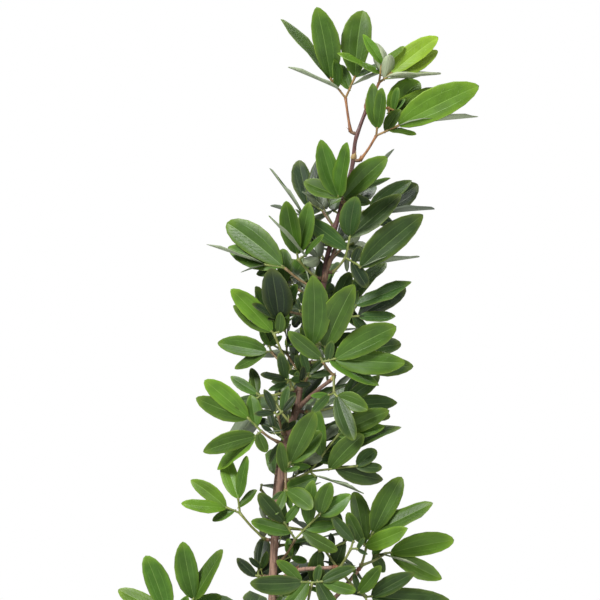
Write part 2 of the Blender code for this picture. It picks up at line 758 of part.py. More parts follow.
def grow_seen(growth, limb, mass, shift):
    """Grows a mass of the photographed side from its rows."""
    rng = random.Random(growth.name)
    node = None
    for leaf in mass.leaves:
        stalk_way = heading(leaf.bearing, leaf.toward)
        if node is None:
            start, out, centre = stem_line(limb, mass.height and mass.height + shift, stalk_way)
            grown, node = grow_stem(growth, start, out, stalk_way)
            if not grown:
                return
        fork = centre + stalk_way * leaf.stalk * MM
        if not grow_stalk(growth, node, fork):
            continue
        for number, rib in enumerate(leaf.ribs):
            bearing, length, *blades = rib
            rib_way = heading(bearing, leaf.lean)
            tip = fork + rib_way * length * MM
            if not growth.twig([fork - rib_way * 1.2 * MM, tip], [RIB_RADIUS * 1.1, RIB_RADIUS]):
                continue
            middle = (blades[0][0] + blades[1][0]) / 2
            longest = max(blade[1] for blade in blades)
            if len(blades) == 2 and length > 6:
                outer = 1 if bearing >= leaf.ribs[1 - number][0] else -1
                size = longest * SMALL_BLADE * rng.uniform(0.85, 1.15)
                blades.append((middle + outer * rng.uniform(48, 66), size, rng.uniform(5, 35)))
            for order, (blade_bearing, seen, twist, *broad) in enumerate(blades):
                lean = leaf.lean + rng.uniform(-BLADE_SWAY, BLADE_SWAY)
                way = heading(blade_bearing, lean)
                share = (1.0, 0.96, 0.42, 0.55, 0.3)[order]
                normal = faced(way, FRONT, twist)
                full = seen * MM / math.cos(math.radians(lean))
                slant = 0.14 if blade_bearing > middle else -0.14
                small = order > 1 and seen < 27
                outline = PLAIN_OUTLINE if small else SEEN_OUTLINE
                spot = fork.lerp(tip, share) + normal * (BLADE_STEP, -BLADE_STEP, 0, 0, 0)[order]
                growth.blade(spot, way, normal, full, small, slant, FRONT.cross(way), outline, *broad)


def hidden_room(name, trunk, row):
    """Where the tips of a hidden mass's blades may be."""
    left, right = row[4] * MM, row[5] * MM

    def inside(spot):
        aside = spot.x - trunk.at(spot.z / MM)[0].x
        return -left < aside < right and ("_low_" not in name or spot.z < LOW_CEILING)

    return inside


def grow_hidden(growth, limb, row, shift):
    """Grows a mass by the rule alone: a short shoot with two or three leaves."""
    _, height, azimuth, rise, *_ = row
    rng = random.Random(growth.name)
    around = math.radians(azimuth)
    lift = math.radians(rise)
    way = Vector((math.cos(around), math.sin(around), 0)) * math.cos(lift) + UP * math.sin(lift)
    start, out, _ = stem_line(limb, height and height + shift, way)
    grown, node = grow_stem(growth, start, out, way)
    if not grown:
        return
    sweeps = (-44, 42, 0) if "_low_" in growth.name else (-26, 28)
    for sweep in sweeps:
        turn = around + math.radians(sweep + rng.uniform(-8, 8))
        tilt = math.radians(rise + rng.uniform(-14, 16) + (26 if sweep == 0 else 0))
        flat = Vector((math.cos(turn), math.sin(turn), 0))
        line_way = flat * math.cos(tilt) + UP * math.sin(tilt)
        normal = faced(line_way, UP + flat * 0.35, rng.uniform(-16, 16))
        fork = node + line_way * HIDDEN_STALK * MM * rng.uniform(0.8, 1.25)
        if not grow_stalk(growth, node, fork):
            continue
        for side in (1, -1):
            split = Quaternion(normal, math.radians(side * HIDDEN_SPLIT * rng.uniform(0.8, 1.2)))
            rib_way = split @ line_way
            tip = fork + rib_way * HIDDEN_RIB * MM * rng.uniform(0.7, 1.3)
            if not growth.twig([fork - rib_way * 1.2 * MM, tip], [RIB_RADIUS * 1.1, RIB_RADIUS]):
                continue
            twins = (1, -1, 2) if rng.random() < 0.4 else (1, -1)
            for twin in twins:
                spread = twin * HIDDEN_SPREAD if twin < 2 else side * 58
                spin = Quaternion(normal, math.radians(spread * rng.uniform(0.8, 1.2)))
                small = twin == 2
                blade_way = (spin @ rib_way - UP * rng.uniform(0, 0.16)).normalized()
                face = faced(blade_way, normal, rng.uniform(5, 34))
                size = HIDDEN_BLADE * MM * (rng.uniform(0.38, 0.52) if small else rng.uniform(0.82, 1.16))
                spot = fork.lerp(tip, 0.5) if small else tip + face * twin * BLADE_STEP
                slant = 0.14 if twin > 0 else -0.14
                pivot = normal.cross(blade_way)
                growth.blade(spot, blade_way, face, size, small, slant, pivot, PLAIN_OUTLINE)


def fuse(growth, home, workshop):
    """Joins a mass's pieces to one closed solid by one Boolean union."""
    first = place(growth.name, growth.pieces[0], home)
    plain = sum(len(face.vertices) - 2 for mesh in growth.pieces for face in mesh.polygons)
    rest = bpy.data.collections.new(growth.name + "_pieces")
    workshop.children.link(rest)
    for mesh in growth.pieces[1:]:
        item = place(mesh.name, mesh, rest)
        item.hide_render = True
        item.display_type = "WIRE"
    join = first.modifiers.new("join", "BOOLEAN")
    join.operation = "UNION"
    join.solver = "EXACT"
    join.operand_type = "COLLECTION"
    join.collection = rest
    apply_modifiers(first)
    for item in list(rest.objects):
        bpy.data.objects.remove(item)
    bpy.data.collections.remove(rest)
    thin_joins(first, plain)
    tidy(first)
    return first


def crossings(item):
    """How many pairs of the mesh's faces cross without sharing a corner."""
    form = bmesh.new()
    form.from_mesh(item.data)
    bmesh.ops.triangulate(form, faces=form.faces[:])
    form.faces.ensure_lookup_table()
    tree = BVHTree.FromBMesh(form)
    found = 0
    for a, b in tree.overlap(tree):
        if a < b and not set(form.faces[a].verts) & set(form.faces[b].verts):
            found += 1
    form.free()
    return found


def thin_joins(item, plain):
    """Thins the small faces at the joins as far as no faces come to cross."""
    full = sum(len(face.vertices) - 2 for face in item.data.polygons)
    whole = item.data.copy()
    share = JOIN_FACES
    while plain * share < full:
        thin = item.modifiers.new("thin", "DECIMATE")
        thin.ratio = plain * share / full
        thin.use_collapse_triangulate = True
        apply_modifiers(item)
        if not crossings(item):
            return
        item.data = whole.copy()
        share += JOIN_FACES_STEP


def tidy(item):
    """Keeps only the largest closed piece of the mesh."""
    form = bmesh.new()
    form.from_mesh(item.data)
    left = set(form.verts)
    groups = []
    while left:
        queue = [left.pop()]
        group = set(queue)
        while queue:
            for edge in queue.pop().link_edges:
                for corner in edge.verts:
                    if corner in left:
                        left.remove(corner)
                        group.add(corner)
                        queue.append(corner)
        groups.append(group)
    groups.sort(key=len)
    loose = [corner for group in groups[:-1] for corner in group]
    if loose:
        bmesh.ops.delete(form, geom=loose, context="VERTS")
    bmesh.ops.triangulate(form, faces=form.faces[:])
    bmesh.ops.recalc_face_normals(form, faces=form.faces[:])
    form.to_mesh(item.data)
    form.free()


def main():
    for old in list(bpy.data.objects):
        bpy.data.objects.remove(old)
    home = bpy.data.collections.new("potted_powderpuff")
    cutters = bpy.data.collections.new("cutters")
    bpy.context.scene.collection.children.link(home)
    bpy.context.scene.collection.children.link(cutters)
    make_pot(home, cutters)
    soil = make_soil(home)
    trunk = Limb("trunk", TRUNK_ROUTE, TRUNK_BASE_RADIUS, TRUNK_TIP_RADIUS, TRUNK_SIDES, home)
    paint(trunk.object, "bark", (0.16, 0.11, 0.08), 0.8)
    limbs = {"trunk": trunk}
    for name, row in BOUGHS.items():
        radii = (row.base_radius * MM, row.tip_radius * MM)
        limbs[name] = Limb(name, row.route, *radii, BOUGH_SIDES, home, trunk)
        paint(limbs[name].object, name + "_bark", (0.2, 0.11, 0.07), 0.75)
    taken = [limb.tree for limb in limbs.values()] + [surfaces(soil)]
    for name, row in [*SEEN.items(), *HIDDEN.items()]:
        for shift in SHIFTS:
            if isinstance(row, Mass):
                growth = Growth(name, taken)
                grow_seen(growth, limbs[row.limb], row, shift)
            else:
                growth = Growth(name, taken, hidden_room(name, trunk, row))
                grow_hidden(growth, limbs[row[0]], row, shift)
            if growth.count > 2:
                break
        if not growth.count:
            continue
        item = fuse(growth, home, cutters)
        paint(item, name + "_green", (0.06, 0.17, 0.035), 0.5)
        taken.append(surfaces(item))
        print(name, growth.count, "blades", len(item.data.polygons), "faces")
    print("faces", sum(len(item.data.polygons) for item in home.objects))


if __name__ == "__main__":
    main()
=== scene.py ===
"""Potted powderpuff shrub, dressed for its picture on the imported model's frame.

Metres, +Z up, front to -Y, as in the model. The masses of foliage grow again here by the model's own
rule, in the same places, and are carried on to shaped leaflets, jointed stalks, buds and young
shoots. Bearings are degrees as seen from the front: 0 is right, 90 up and 180 left.
"""

import json
import math
import random
from typing import NamedTuple

import bmesh
import bpy
import numpy as np
from mathutils import Matrix, Quaternion, Vector, noise
from mathutils.bvhtree import BVHTree
from mathutils.geometry import intersect_point_line

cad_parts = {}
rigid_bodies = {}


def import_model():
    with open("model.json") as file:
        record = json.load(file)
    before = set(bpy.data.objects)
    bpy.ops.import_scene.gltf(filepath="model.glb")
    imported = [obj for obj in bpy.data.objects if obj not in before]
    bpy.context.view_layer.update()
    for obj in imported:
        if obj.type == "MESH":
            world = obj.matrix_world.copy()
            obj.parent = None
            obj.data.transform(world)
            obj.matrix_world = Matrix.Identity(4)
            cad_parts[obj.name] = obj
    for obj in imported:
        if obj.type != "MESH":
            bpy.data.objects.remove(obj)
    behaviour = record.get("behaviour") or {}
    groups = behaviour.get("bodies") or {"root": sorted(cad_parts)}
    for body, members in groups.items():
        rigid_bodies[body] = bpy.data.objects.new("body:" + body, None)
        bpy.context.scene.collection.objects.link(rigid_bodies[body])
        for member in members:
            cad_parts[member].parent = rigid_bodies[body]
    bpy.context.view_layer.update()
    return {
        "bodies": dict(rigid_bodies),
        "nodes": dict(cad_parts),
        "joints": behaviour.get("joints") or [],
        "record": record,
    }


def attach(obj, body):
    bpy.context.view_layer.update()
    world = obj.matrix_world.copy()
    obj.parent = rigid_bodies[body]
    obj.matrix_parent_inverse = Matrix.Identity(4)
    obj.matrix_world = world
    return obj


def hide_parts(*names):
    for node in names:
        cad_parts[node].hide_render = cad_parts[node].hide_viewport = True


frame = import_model()
NODES = frame["nodes"]

MM = 0.001
GAP = 0.3 * MM  # left between two solids that meet
FRONT = Vector((0, -1, 0))
UP = Vector((0, 0, 1))

POT_HEIGHT = 225 * MM
POT_FOOT_RADIUS = 88 * MM
POT_MOUTH_RADIUS = 114 * MM
POT_WALL = 3 * MM
POT_FLOOR = 4 * MM
POT_BEVEL = 0.35 * MM
POT_SIDES = 144
RIM_HEIGHT = 16 * MM
RIM_PROUD = 4 * MM
DRAIN_HOLES = 5
DRAIN_RADIUS = 6 * MM
DRAIN_CIRCLE = 62 * MM
SOIL_TOP = 205 * MM
SOIL_SIDES = 160
SOIL_RINGS = 46
# Loose pieces on the mix: how many, their size in mm, light colour and dark colour
LOOSE = {
    "mix_crumbs": (1500, (0.9, 2.6), (0.085, 0.050, 0.028), (0.028, 0.016, 0.009)),
    "mix_bark_chips": (260, (2.2, 5.2), (0.20, 0.105, 0.055), (0.075, 0.036, 0.02)),
    "mix_grit": (130, (1.0, 2.3), (0.62, 0.58, 0.50), (0.42, 0.38, 0.31)),
}

# The trunk and the boughs: radius at the base and the tip in mm, then the route in mm
TRUNK = (
    3.8, 1.25,
    (-1, 0, 205), (-1, 0, 215), (-5, 3, 290), (-1, 2, 390), (1, 0, 450), (4, -2, 492), (9, -2, 530),
    (18, 2, 562), (22, 4, 592), (34, 3, 631), (38, 0, 662), (47, -2, 695), (56, 0, 728), (58.5, 0, 747),
    (66, 1, 768),
)
BOUGHS = {
    "bough_upper_right": (1.8, 1.2, (17, 2, 558), (25, -3, 566), (33, -7, 573), (41, -9, 579)),
    "bough_lower_right": (1.8, 1.25, (1, 1, 436), (16, -8, 446), (29, -12, 448), (42, -15, 449)),
    "bough_low_right": (2.2, 1.3, (-1, 2, 392), (24, 6, 409), (45, 6, 427), (60, 4, 445)),
    "bough_low_left": (2.4, 1.4, (-3, 3, 342), (-24, -3, 364), (-42, -7, 384), (-53, -8, 400)),
    "bough_low_front": (2.4, 1.4, (-4, 2, 322), (4, -22, 342), (12, -42, 366), (16, -54, 392)),
    "bough_low_back": (2.4, 1.4, (-5, 3, 306), (-8, 26, 330), (-14, 48, 356), (-18, 58, 384)),
    "bough_middle_back": (2.1, 1.3, (3, -1, 478), (2, 16, 496), (4, 32, 516), (8, 42, 538)),
}
ROUTE_STEPS = 2  # stretches between two points of a route
FLARE = 3.4 * MM  # added to the radius where the trunk meets the mix
FLARE_HEIGHT = 26 * MM

# The rule by which the masses grow
TWIG_SIDES = 3
STALK_RADIUS = 1.1 * MM
RIB_RADIUS = 0.75 * MM
TWIG_ROOT = 1.2 * MM  # how far a stalk or rib is sunk in the twig that it leaves
COLLAR = 2.5 * MM  # how far a stem leaves its limb straight out
BLADE_WIDTH = 0.37  # of a blade's length
SMALL_BLADE_WIDTH = 0.50
BLADE_THICKNESS = 0.020  # of a blade's length, at its middle
BLADE_ROOT = 2.4 * MM  # how far a blade's root is sunk in its rib
BLADE_STEP = 0.35 * MM  # how far the blades of a pair stand off each side of their rib's line
BLADE_CURL = 0.05  # how far its tip falls back, of its length
BLADE_FOLD = 0.07  # rise of its margins from its midrib, of its width
BLADE_MIDDLE = 0.45
BLADE_SLANT = 0.14  # how much broader one half of a blade is than the mean
BLADE_SHARES = (1.0, 0.96, 0.42, 0.55, 0.3)  # where along its rib each blade of a seen mass stands
SEEN_OUTLINE = ((0.16, 0.52), (0.48, 1.0), (0.82, 0.76))  # a blade's edge: how far along, how far out
PLAIN_OUTLINE = ((0.34, 0.90), (0.76, 0.86))
BLADE_SWAY = 15  # degrees that a blade leans to the front or back of its leaf
SMALL_BLADE = 0.44  # a blade low on a rib, as a share of the rib's longest
SMALL_SEEN = 27  # mm under which a blade low on a rib is of the small kind
ROOM = 0.35 * MM  # clear space that a blade keeps all round
SHIFTS = (0, 3, -3, 6, -6, 10, -10)  # mm up or down the trunk, tried where a stem has no room
TURNS = (0, 9, -9, 18, -18, 28, -28, 40, -40, 55, -55)  # degrees tried where a leaf has no room
LOW_CEILING = 424 * MM  # the low masses' blades end below this height, the foot of the photograph
HIDDEN_STALK = 20  # mm
HIDDEN_RIB = 12  # mm
HIDDEN_BLADE = 48  # mm
HIDDEN_SPLIT = 36  # degrees from a leaf's line to each rib
HIDDEN_SPREAD = 27  # degrees from a rib to each large blade
HIDDEN_LOW_SPREAD = 58  # degrees from a rib to a small blade low on it

# Young shoots with small leaflets, in the masses that the photograph shows and in those behind
YOUNG_IN = (
    "heart_upper", "heart_left", "heart_small", "heart_front", "waist_left", "lower_front", "base_middle",
    "base_left", "low_front",
)
YOUNG_SHOOT = (5.5, 9.5)  # mm
YOUNG_BLADE = (9, 14)  # mm
BACK_SHOOT = (8, 17)  # mm
BACK_BLADE = (15, 27)  # mm
YOUNG_RADIUS = 0.5 * MM
YOUNG_AHEAD = 0.5  # how far a young shoot follows the twig that it leaves
YOUNG_TURNS = (-48, -14, 22, 56)  # degrees from the shoot to each of its blades
YOUNG_WIDTH = 1.25  # how many times as broad as the common width

# Leaflets as they are dressed: columns from one margin to the other, rows from root to tip
LEAFLET_COLUMNS = (-1, -0.94, -0.5, -0.026, 0.026, 0.5, 0.94, 1)
LEAFLET_ROWS = (0, 0.02, 0.10, 0.24, 0.42, 0.60, 0.77, 0.90, 0.975, 1)
LEAFLET_PUFF = 0.055  # how far each half swells, of the leaflet's width
LEAFLET_RUFFLE = 0.022  # wave of the margins, of the length
LEAFLET_ROOT = 0.6 * BLADE_ROOT  # how far up the blade the leaflet proper begins
MIDRIB_GROOVE = 0.02  # of the width
SHORT_LEAFLET = 24 * MM
EDGE_ON = 0.36  # how far an edge-on blade's upper face may show and still be tipped over
EDGE_TIP = 1.2  # by how many times what shows it is tipped
PALE_SMALL = ("top",)  # masses whose small blades show their under faces
STALK_SIDES = 7
STALK_RINGS = 9
RED_STALKS = 0.715  # height in metres above which stalks are red
BROWN_STALKS = 0.52  # height above which half of them are brown
RED_RIBS = 0.74

# Buds: limb, height in mm (0 is its tip), bearing, length and width in mm, and colour
BUDS = (
    ("trunk", 0, 118, 9.0, 5.2, "rust"),
    ("trunk", 733, 62, 8.0, 6.4, "pale"),
    ("trunk", 662, 70, 6.0, 4.6, "rust"),
    ("trunk", 541, 142, 8.5, 6.0, "rust"),
    ("trunk", 484, 25, 5.0, 4.8, "rust"),
    ("trunk", 586, 52, 6.5, 5.6, "pale"),
    ("bough_upper_right", 0, 70, 5.5, 4.6, "pale"),
    ("bough_lower_right", 446, 84, 5.5, 5.6, "rust"),
    ("bough_lower_right", 0, 22, 6.5, 5.6, "rust"),
    ("bough_low_right", 0, 62, 5.5, 5.0, "rust"),
)
BUD_SCALES = (1, 0.86, 0.78, 0.62, 0.5)  # length of each scale of a bud, of the bud's
BUD_LEAN = 12  # degrees to the front
SPUR = (648, 677)  # heights in mm between which a dry spur stands by the trunk

# Greens of the leaflets, youngest first: upper face, then under face
GREENS = {
    "young": ((0.160, 0.262, 0.018), (0.37, 0.42, 0.26)),
    "bright": ((0.078, 0.160, 0.012), (0.33, 0.38, 0.24)),
    "mid": ((0.045, 0.101, 0.010), (0.24, 0.29, 0.175)),
    "deep": ((0.026, 0.057, 0.010), (0.165, 0.205, 0.125)),
    "dark": ((0.013, 0.027, 0.009), (0.105, 0.132, 0.088)),
}

# Colours of stalks, ribs and scales: the look's name, light, dark and roughness
STALK_LOOKS = {
    "stems": ("shoot_bark", (0.20, 0.115, 0.062), (0.085, 0.045, 0.028), 0.7),
    "stalks_red": ("stalk_red", (0.34, 0.155, 0.055), (0.19, 0.075, 0.030), 0.5),
    "stalks_brown": ("stalk_brown", (0.22, 0.15, 0.060), (0.12, 0.075, 0.036), 0.5),
    "stalks_green": ("stalk_green", (0.22, 0.24, 0.060), (0.13, 0.15, 0.036), 0.5),
    "ribs_red": ("rib_red", (0.32, 0.20, 0.065), (0.19, 0.11, 0.036), 0.5),
    "ribs_green": ("rib_green", (0.22, 0.26, 0.060), (0.13, 0.165, 0.036), 0.5),
    "leaf_joints": ("joint_green", (0.23, 0.25, 0.07), (0.14, 0.14, 0.045), 0.5),
    "buds_pale": ("scale_straw", (0.42, 0.30, 0.11), (0.22, 0.13, 0.05), 0.6),
    "bud_scales": ("scale_rust", (0.30, 0.13, 0.055), (0.13, 0.05, 0.026), 0.7),
}

BARK_RING = 1.5 * MM  # between two rings of the bark
BARK_SIDES = {"trunk": 26, "bough": 14}
STEM_SWELLING = (3.2 * MM, 0.22)  # how far the bark swells round a stem, and how much
BOUGH_SWELLING = (5 * MM, 0.24)

VIEW_CENTRE = (0.0196, 0, 0.635)  # the middle of the picture
VIEW_WIDTH = 0.42
VIEW_DISTANCE = 2.2
SENSOR = 36  # mm
LAMPS_AIM = Vector((0.02, 0, 0.55))
LAMPS = {  # where it stands, its size and its power
    "key_light": ((-1.2, -1.5, 2.1), 0.9, 88),
    "fill_light": ((1.6, -1.2, 1.0), 1.0, 15),
    "top_light": ((0.3, 0.7, 2.2), 1.0, 26),
}
FLOOR_RADIUS = 1.6
FLOOR_SUNK = 0.5 * MM
STUDIO_GLOW = 0.25

# Masses that the photograph doesn't show: limb, how high, which way round the trunk (0 is right and
# 90 the back), degrees above level, and how far left and right of the trunk its blades may reach in mm
HIDDEN = {
    "back_neck": ("trunk", 686, 96, 40, 30, 30),
    "back_shoulder": ("trunk", 660, 78, 34, 36, 36),
    "back_waist_left": ("trunk", 634, 112, 30, 44, 44),
    "back_waist_right": ("trunk", 610, 70, 30, 46, 46),
    "back_middle": ("trunk", 584, 100, 26, 48, 48),
    "back_heart": ("bough_middle_back", 0, 90, 34, 50, 50),
    "back_side_left": ("trunk", 549, 98, 26, 14, 48),
    "back_side_right": ("trunk", 524, 62, 24, 12, 54),
    "back_lower_left": ("trunk", 488, 94, 26, 9, 44),
    "back_lower_right": ("trunk", 462, 66, 20, 14, 76),
    "back_base": ("trunk", 424, 80, 16, 14, 84),
    "low_back": ("bough_low_back", 0, 100, 24, 200, 200),
    "low_left": ("trunk", 378, 176, 2, 200, 200),
    "low_right_front": ("trunk", 408, -44, 4, 200, 200),
    "low_left_back": ("trunk", 360, 132, 2, 200, 200),
    "low_right_back": ("trunk", 354, 40, 8, 200, 200),
    "low_left_front": ("trunk", 340, -128, 8, 200, 200),
    "low_right": ("trunk", 326, -10, 8, 200, 200),
}

# Masses that the photograph shows, from the top down: limb, height in mm where it leaves the trunk
# (0 is the limb's tip), then its leaves. A leaf is the green of its spray as a place in GREENS, the
# bearing of its fork from the limb, the degrees that its stalk leans to the front, the mm from the
# limb's centreline to the fork, the degrees that its blades lean to the front, then its ribs. A rib is
# its bearing, its length in mm and its blades, the first two at its tip. A blade is its bearing, its
# length in mm as seen from the front, the degrees that it is turned from facing the front (towards
# edge-on where above 0, underside first where below) and, where it isn't of the common width, how many
# times as broad it is.
SEEN = {
    "top": ("trunk", 0,
     (0.6, 65, 5, 21, 12, (81, 14, (123, 24, 30), (42, 20, 45), (152, 33, 66), (100, 21, 20)),
      (36, 12, (39, 41, 16), (28, 37, 10), (80, 18, 10), (6, 36, 80), (10, 48, 78))),
     (1.2, 4, 8, 16, 0, (-90, 3, (46, 41, 2, 1.2), (26, 42, 20)), (-20, 4, (82, 16, 16), (48, 11, 24)))),
    "upper_left": ("trunk", 751,
     (1.9, 108, -6, 27, 4, (128, 18, (128, 54, 62), (101, 49, 6), (154, 39, 80), (93, 20, 40)),
      (66, 17, (84, 45, 0, 1.25), (31, 24, 55), (108, 20, 10), (27, 40, 84)))),
    "upper_right": ("trunk", 733,
     (1.6, 46, 14, 24, 10, (24, 18, (26, 61, 0), (11, 60, 78), (57, 18, 10), (-7, 19, 60)),
      (84, 6, (95, 31, 0), (85, 31, 40)))),
    "neck_front": ("trunk", 703,
     (1.8, 70, 66, 12, 30, (180, 6, (107, 40, 8), (84, 39, 50), (158, 26, 30)),
      (-90, 2, (44, 39, 10), (27, 33, 66), (-12, 15, 20)))),
    "neck_right": ("trunk", 694,
     (3.5, 11, -50, 29, -22, (10, 6, (31, 41, 8), (40, 37, 30)), (-12, 12, (10, 40, 72), (62, 24, 20)))),
    "neck_left": ("trunk", 684,
     (3.9, 156, -46, 30, -24, (78, 9, (103, 36, 10), (80, 37, 28)),
      (150, 3, (123, 43, 78), (157, 25, 78)))),
    "shoulder_left": ("trunk", 650,
     (1.9, 144, 20, 24, 14, (100, 5, (102, 36, 0), (77, 36, 10)), (30, 6, (51, 19, 55), (130, 46, 78)))),
    "far_left": ("trunk", 642,
     (2.1, 150, -8, 31, -6, (140, 3, (142, 50, 0, 1.1), (160, 43, 18)),
      (170, 15, (159, 43, 74), (194, 18, 82), (200, 16, 20)))),
    "shoulder_right": ("trunk", 655,
     (2.9, 34, 18, 18, 8, (-30, 13, (40, 57, 0), (13, 46, 74), (-58, 21, 20), (70, 12, 10)),
      (78, 16, (82, 33, 0, 1.25), (42, 47, 26), (143, 35, 16)))),
    "waist_left": ("trunk", 623,
     (3.7, 168, 8, 22, 34, (223, 9, (99, 34, -8, 1.3), (150, 20, 40)),
      (90, 8, (121, 18, 10), (60, 16, 24)))),
    "waist_right": ("trunk", 613.5,
     (3.0, 20, -12, 28, -8, (8, 7, (30, 40, 0), (2, 26, 30)), (60, 10, (24, 42, 44), (88, 13, 20)),
      (140, 14, (65, 26, 12, 1.15), (100, 12, 20), (30, 10, 20)))),
    "waist_front": ("trunk", 603,
     (2.2, 10, 58, 15, 26, (180, 6, (89, 46, 0), (124, 14, 24)),
      (-20, 5, (66, 46, 14), (28, 20, 14), (-30, 18, 10)))),
    "middle_left": ("trunk", 582,
     (1.6, 123, 8, 35.5, 2, (135, 3, (134, 40, 2), (145, 31, 14)),
      (20, 8, (116, 23, 14), (98, 25, 20), (84, 16, 24))),
     (1.7, 142, -22, 29, -12, (180, 4, (170, 36, 4), (205, 26, 38)),
      (110, 5, (120, 13, 10), (40, 12, 20)))),
    "middle_right": ("bough_upper_right", 0,
     (1.9, 113, 20, 15, 14, (15, 10, (28, 46, 0, 1.1), (-3, 48, 10), (80, 14, 10), (-24, 38, 45)),
      (120, 4, (141, 28, 4), (80, 14, 10))),
     (2.3, -76, 34, 11, 24, (-45, 4, (-69, 31, 0), (-22, 22, 6, 1.4)),
      (200, 5, (226, 16, 20), (180, 12, 14)))),
    "middle_right_back": ("trunk", 592,
     (2.2, 7, -30, 36, -20, (10, 4, (12, 36, 10), (-4, 34, 24)), (-30, 7, (28, 30, 20), (-6, 41, 12)))),
    "heart_upper": ("trunk", 577,
     (2.8, 40, 52, 11, 30, (80, 4, (108, 16, 10), (41, 15, 20)), (10, 3, (8, 14, 26), (-30, 12, 16)))),
    "heart_left": ("trunk", 571,
     (2.6, 130, 30, 12, 30, (170, 4, (166, 17, 40), (101, 18, 2)),
      (220, 4, (200, 13, 10), (104, 12, 12))),
     (2.6, 188, -34, 33, -16, (150, 4, (147, 22, 16), (101, 19, 8)),
      (210, 4, (190, 15, 20), (225, 14, 22)))),
    "heart_right": ("trunk", 558,
     (2.9, 6, -20, 34, -6, (-10, 6, (4, 34, 6), (-14, 30, 14)), (50, 6, (34, 28, 10), (64, 20, 12)))),
    "heart_small": ("trunk", 540,
     (3.4, 117, 34, 20, 18, (140, 4, (113, 17, 10), (184, 13, 22)), (40, 5, (52, 14, 8), (78, 17, 16)))),
    "side_left": ("trunk", 534,
     (1.5, 152, 6, 20, 2, (135, 14, (139, 39, 0), (158, 38, 18), (99, 22, 10)),
      (220, 6, (196, 37, 0), (218, 36, 46), (-66, 14, 12, 1.2)))),
    "heart_front": ("trunk", 517,
     (1.9, 38, 60, 12, 30, (50, 3, (65, 38, 0), (47, 28, 26, 1.2)), (240, 6, (98, 20, 14), (16, 9, 20))),
     (1.9, -79, 45, 20, 30, (-30, 2, (-33, 20, 10, 1.3), (-78, 12, 24)),
      (-120, 2, (-113, 16, 14), (-150, 9, 24)))),
    "side_right": ("trunk", 510,
     (2.3, 15, 16, 22, 6, (52, 34, (25, 38, 0), (12, 32, 30), (97, 33, 2), (19, 55, 52), (7, 16, 20)),
      (7, 34, (40, 17, 10, 1.7), (-2, 18, 20, 1.2), (47, 36, 0, 1.15), (-14, 34, 8)),
      (-40, 6, (-15, 35, 80), (202, 24, 6, 1.3)))),
    "lower_right": ("trunk", 476,
     (2.6, -1, -16, 52, 2, (140, 5, (178, 22, 8, 1.2), (132, 17, 12)),
      (10, 4, (22, 12, 20), (-50, 10, 14)))),
    "lower_left": ("trunk", 467,
     (1.5, 142, 4, 31, 0, (157, 11, (143, 31, 2), (172, 31, 40), (203, 17, 40)),
      (97, 11, (108, 32, 4), (82, 30, 46), (46, 17, 46)))),
    "lower_front": ("trunk", 452,
     (2.1, 48, 36, 28, 16, (122, 15.5, (130, 28, 0), (52, 17, 12), (163, 28, 24)),
      (47, 27, (72, 22, 0, 1.5), (33, 23, 12, 1.35), (8, 22, 14, 0.8), (86, 31, 10), (-28, 27, 12)))),
    "base_right": ("bough_low_right", 0,
     (1.6, 70, 2, 18, 4, (65, 12, (63, 43, 0, 1.1), (30, 46, 46), (47, 31, 58)),
      (130, 3, (117, 25, 8), (100, 37, 14), (27, 36, 24))),
     (1.5, 31, -12, 24, -8, (5, 4, (11, 45, 2), (-27, 41, 30)),
      (193, 9, (56, 18, 8, 1.2), (-56, 15, 14, 1.5), (-12, 30, 72)))),
    "base_middle": ("bough_lower_right", 0,
     (2.8, -41, 8, 31, 10, (10, 5, (30, 33, 0), (-3, 54, 6, 0.95)),
      (-80, 9, (-40, 36, 20), (-74, 28, 12)), (140, 6, (52, 24, 14, 1.1), (105, 13, 20))),
     (2.7, 46, 12, 19, 6, (74, 6, (130, 23, 10), (104, 12, 16)), (2, 5, (60, 9, 10), (-30, 8, 20))),
     (3.0, 112, -16, 13, -14, (190, 5, (-91, 25, 6, 1.25), (-60, 10, 20)),
      (22, 15, (-110, 25, 8, 1.15), (60, 12, 14), (100, 10, 20)))),
    "base_left": ("trunk", 441,
     (3.4, 176, -20, 11, -10, (88, 6, (79, 21, 4, 1.5), (126, 9, 30)),
      (180, 2, (137, 18, 16, 1.2), (29, 29, 18, 1.1)))),
    "corner_left": ("bough_low_left", 0,
     (2.0, 128, 0, 16, 0, (160, 11, (110, 43, 0, 1.1), (154, 39, 24), (60, 17, 10)),
      (60, 17, (101, 40, 2, 1.1), (63, 40, 50, 1.2), (22, 26, 10))),
     (2.0, 212, 12, 20, 6, (190, 8, (174, 42, 8), (203, 44, 16)), (250, 8, (232, 40, 4), (264, 34, 22)))),
    "low_front": ("bough_low_front", 0,
     (2.6, 77, 10, 53, 14, (175, 8, (180, 34, 0, 1.05), (138, 22, 8), (232, 30, 14)),
      (8, 8, (24, 24, 8), (-15, 22, 14), (80, 12, 10), (-58, 30, 12))),
     (2.2, 196, 26, 22, 14, (165, 9, (150, 38, 10), (186, 42, 16)),
      (225, 9, (212, 36, 8), (246, 34, 20))),
     (2.2, -14, 30, 24, 14, (20, 9, (34, 36, 10), (2, 42, 16)), (-40, 9, (-30, 38, 8), (-62, 32, 20)))),
}


def smooth_line(points, steps=3):
    """A smooth line through the points, in so many stretches between two of them."""
    knots = [points[0] * 2 - points[1], *points, points[-1] * 2 - points[-2]]
    line = []
    for a, b, c, d in zip(knots, knots[1:], knots[2:], knots[3:]):
        for step in range(steps):
            t = step / steps
            curve = (c - a) * t + (a * 2 - b * 5 + c * 4 - d) * t * t + (b * 3 - a - c * 3 + d) * t**3
            line.append(b + curve / 2)
    return [*line, points[-1]]


def directions(line):
    """The way that a line runs at each of its points."""
    ahead = [(b - a).normalized() for a, b in zip(line, line[1:])]
    return [ahead[0]] + [(a + b).normalized() for a, b in zip(ahead, ahead[1:])] + [ahead[-1]]


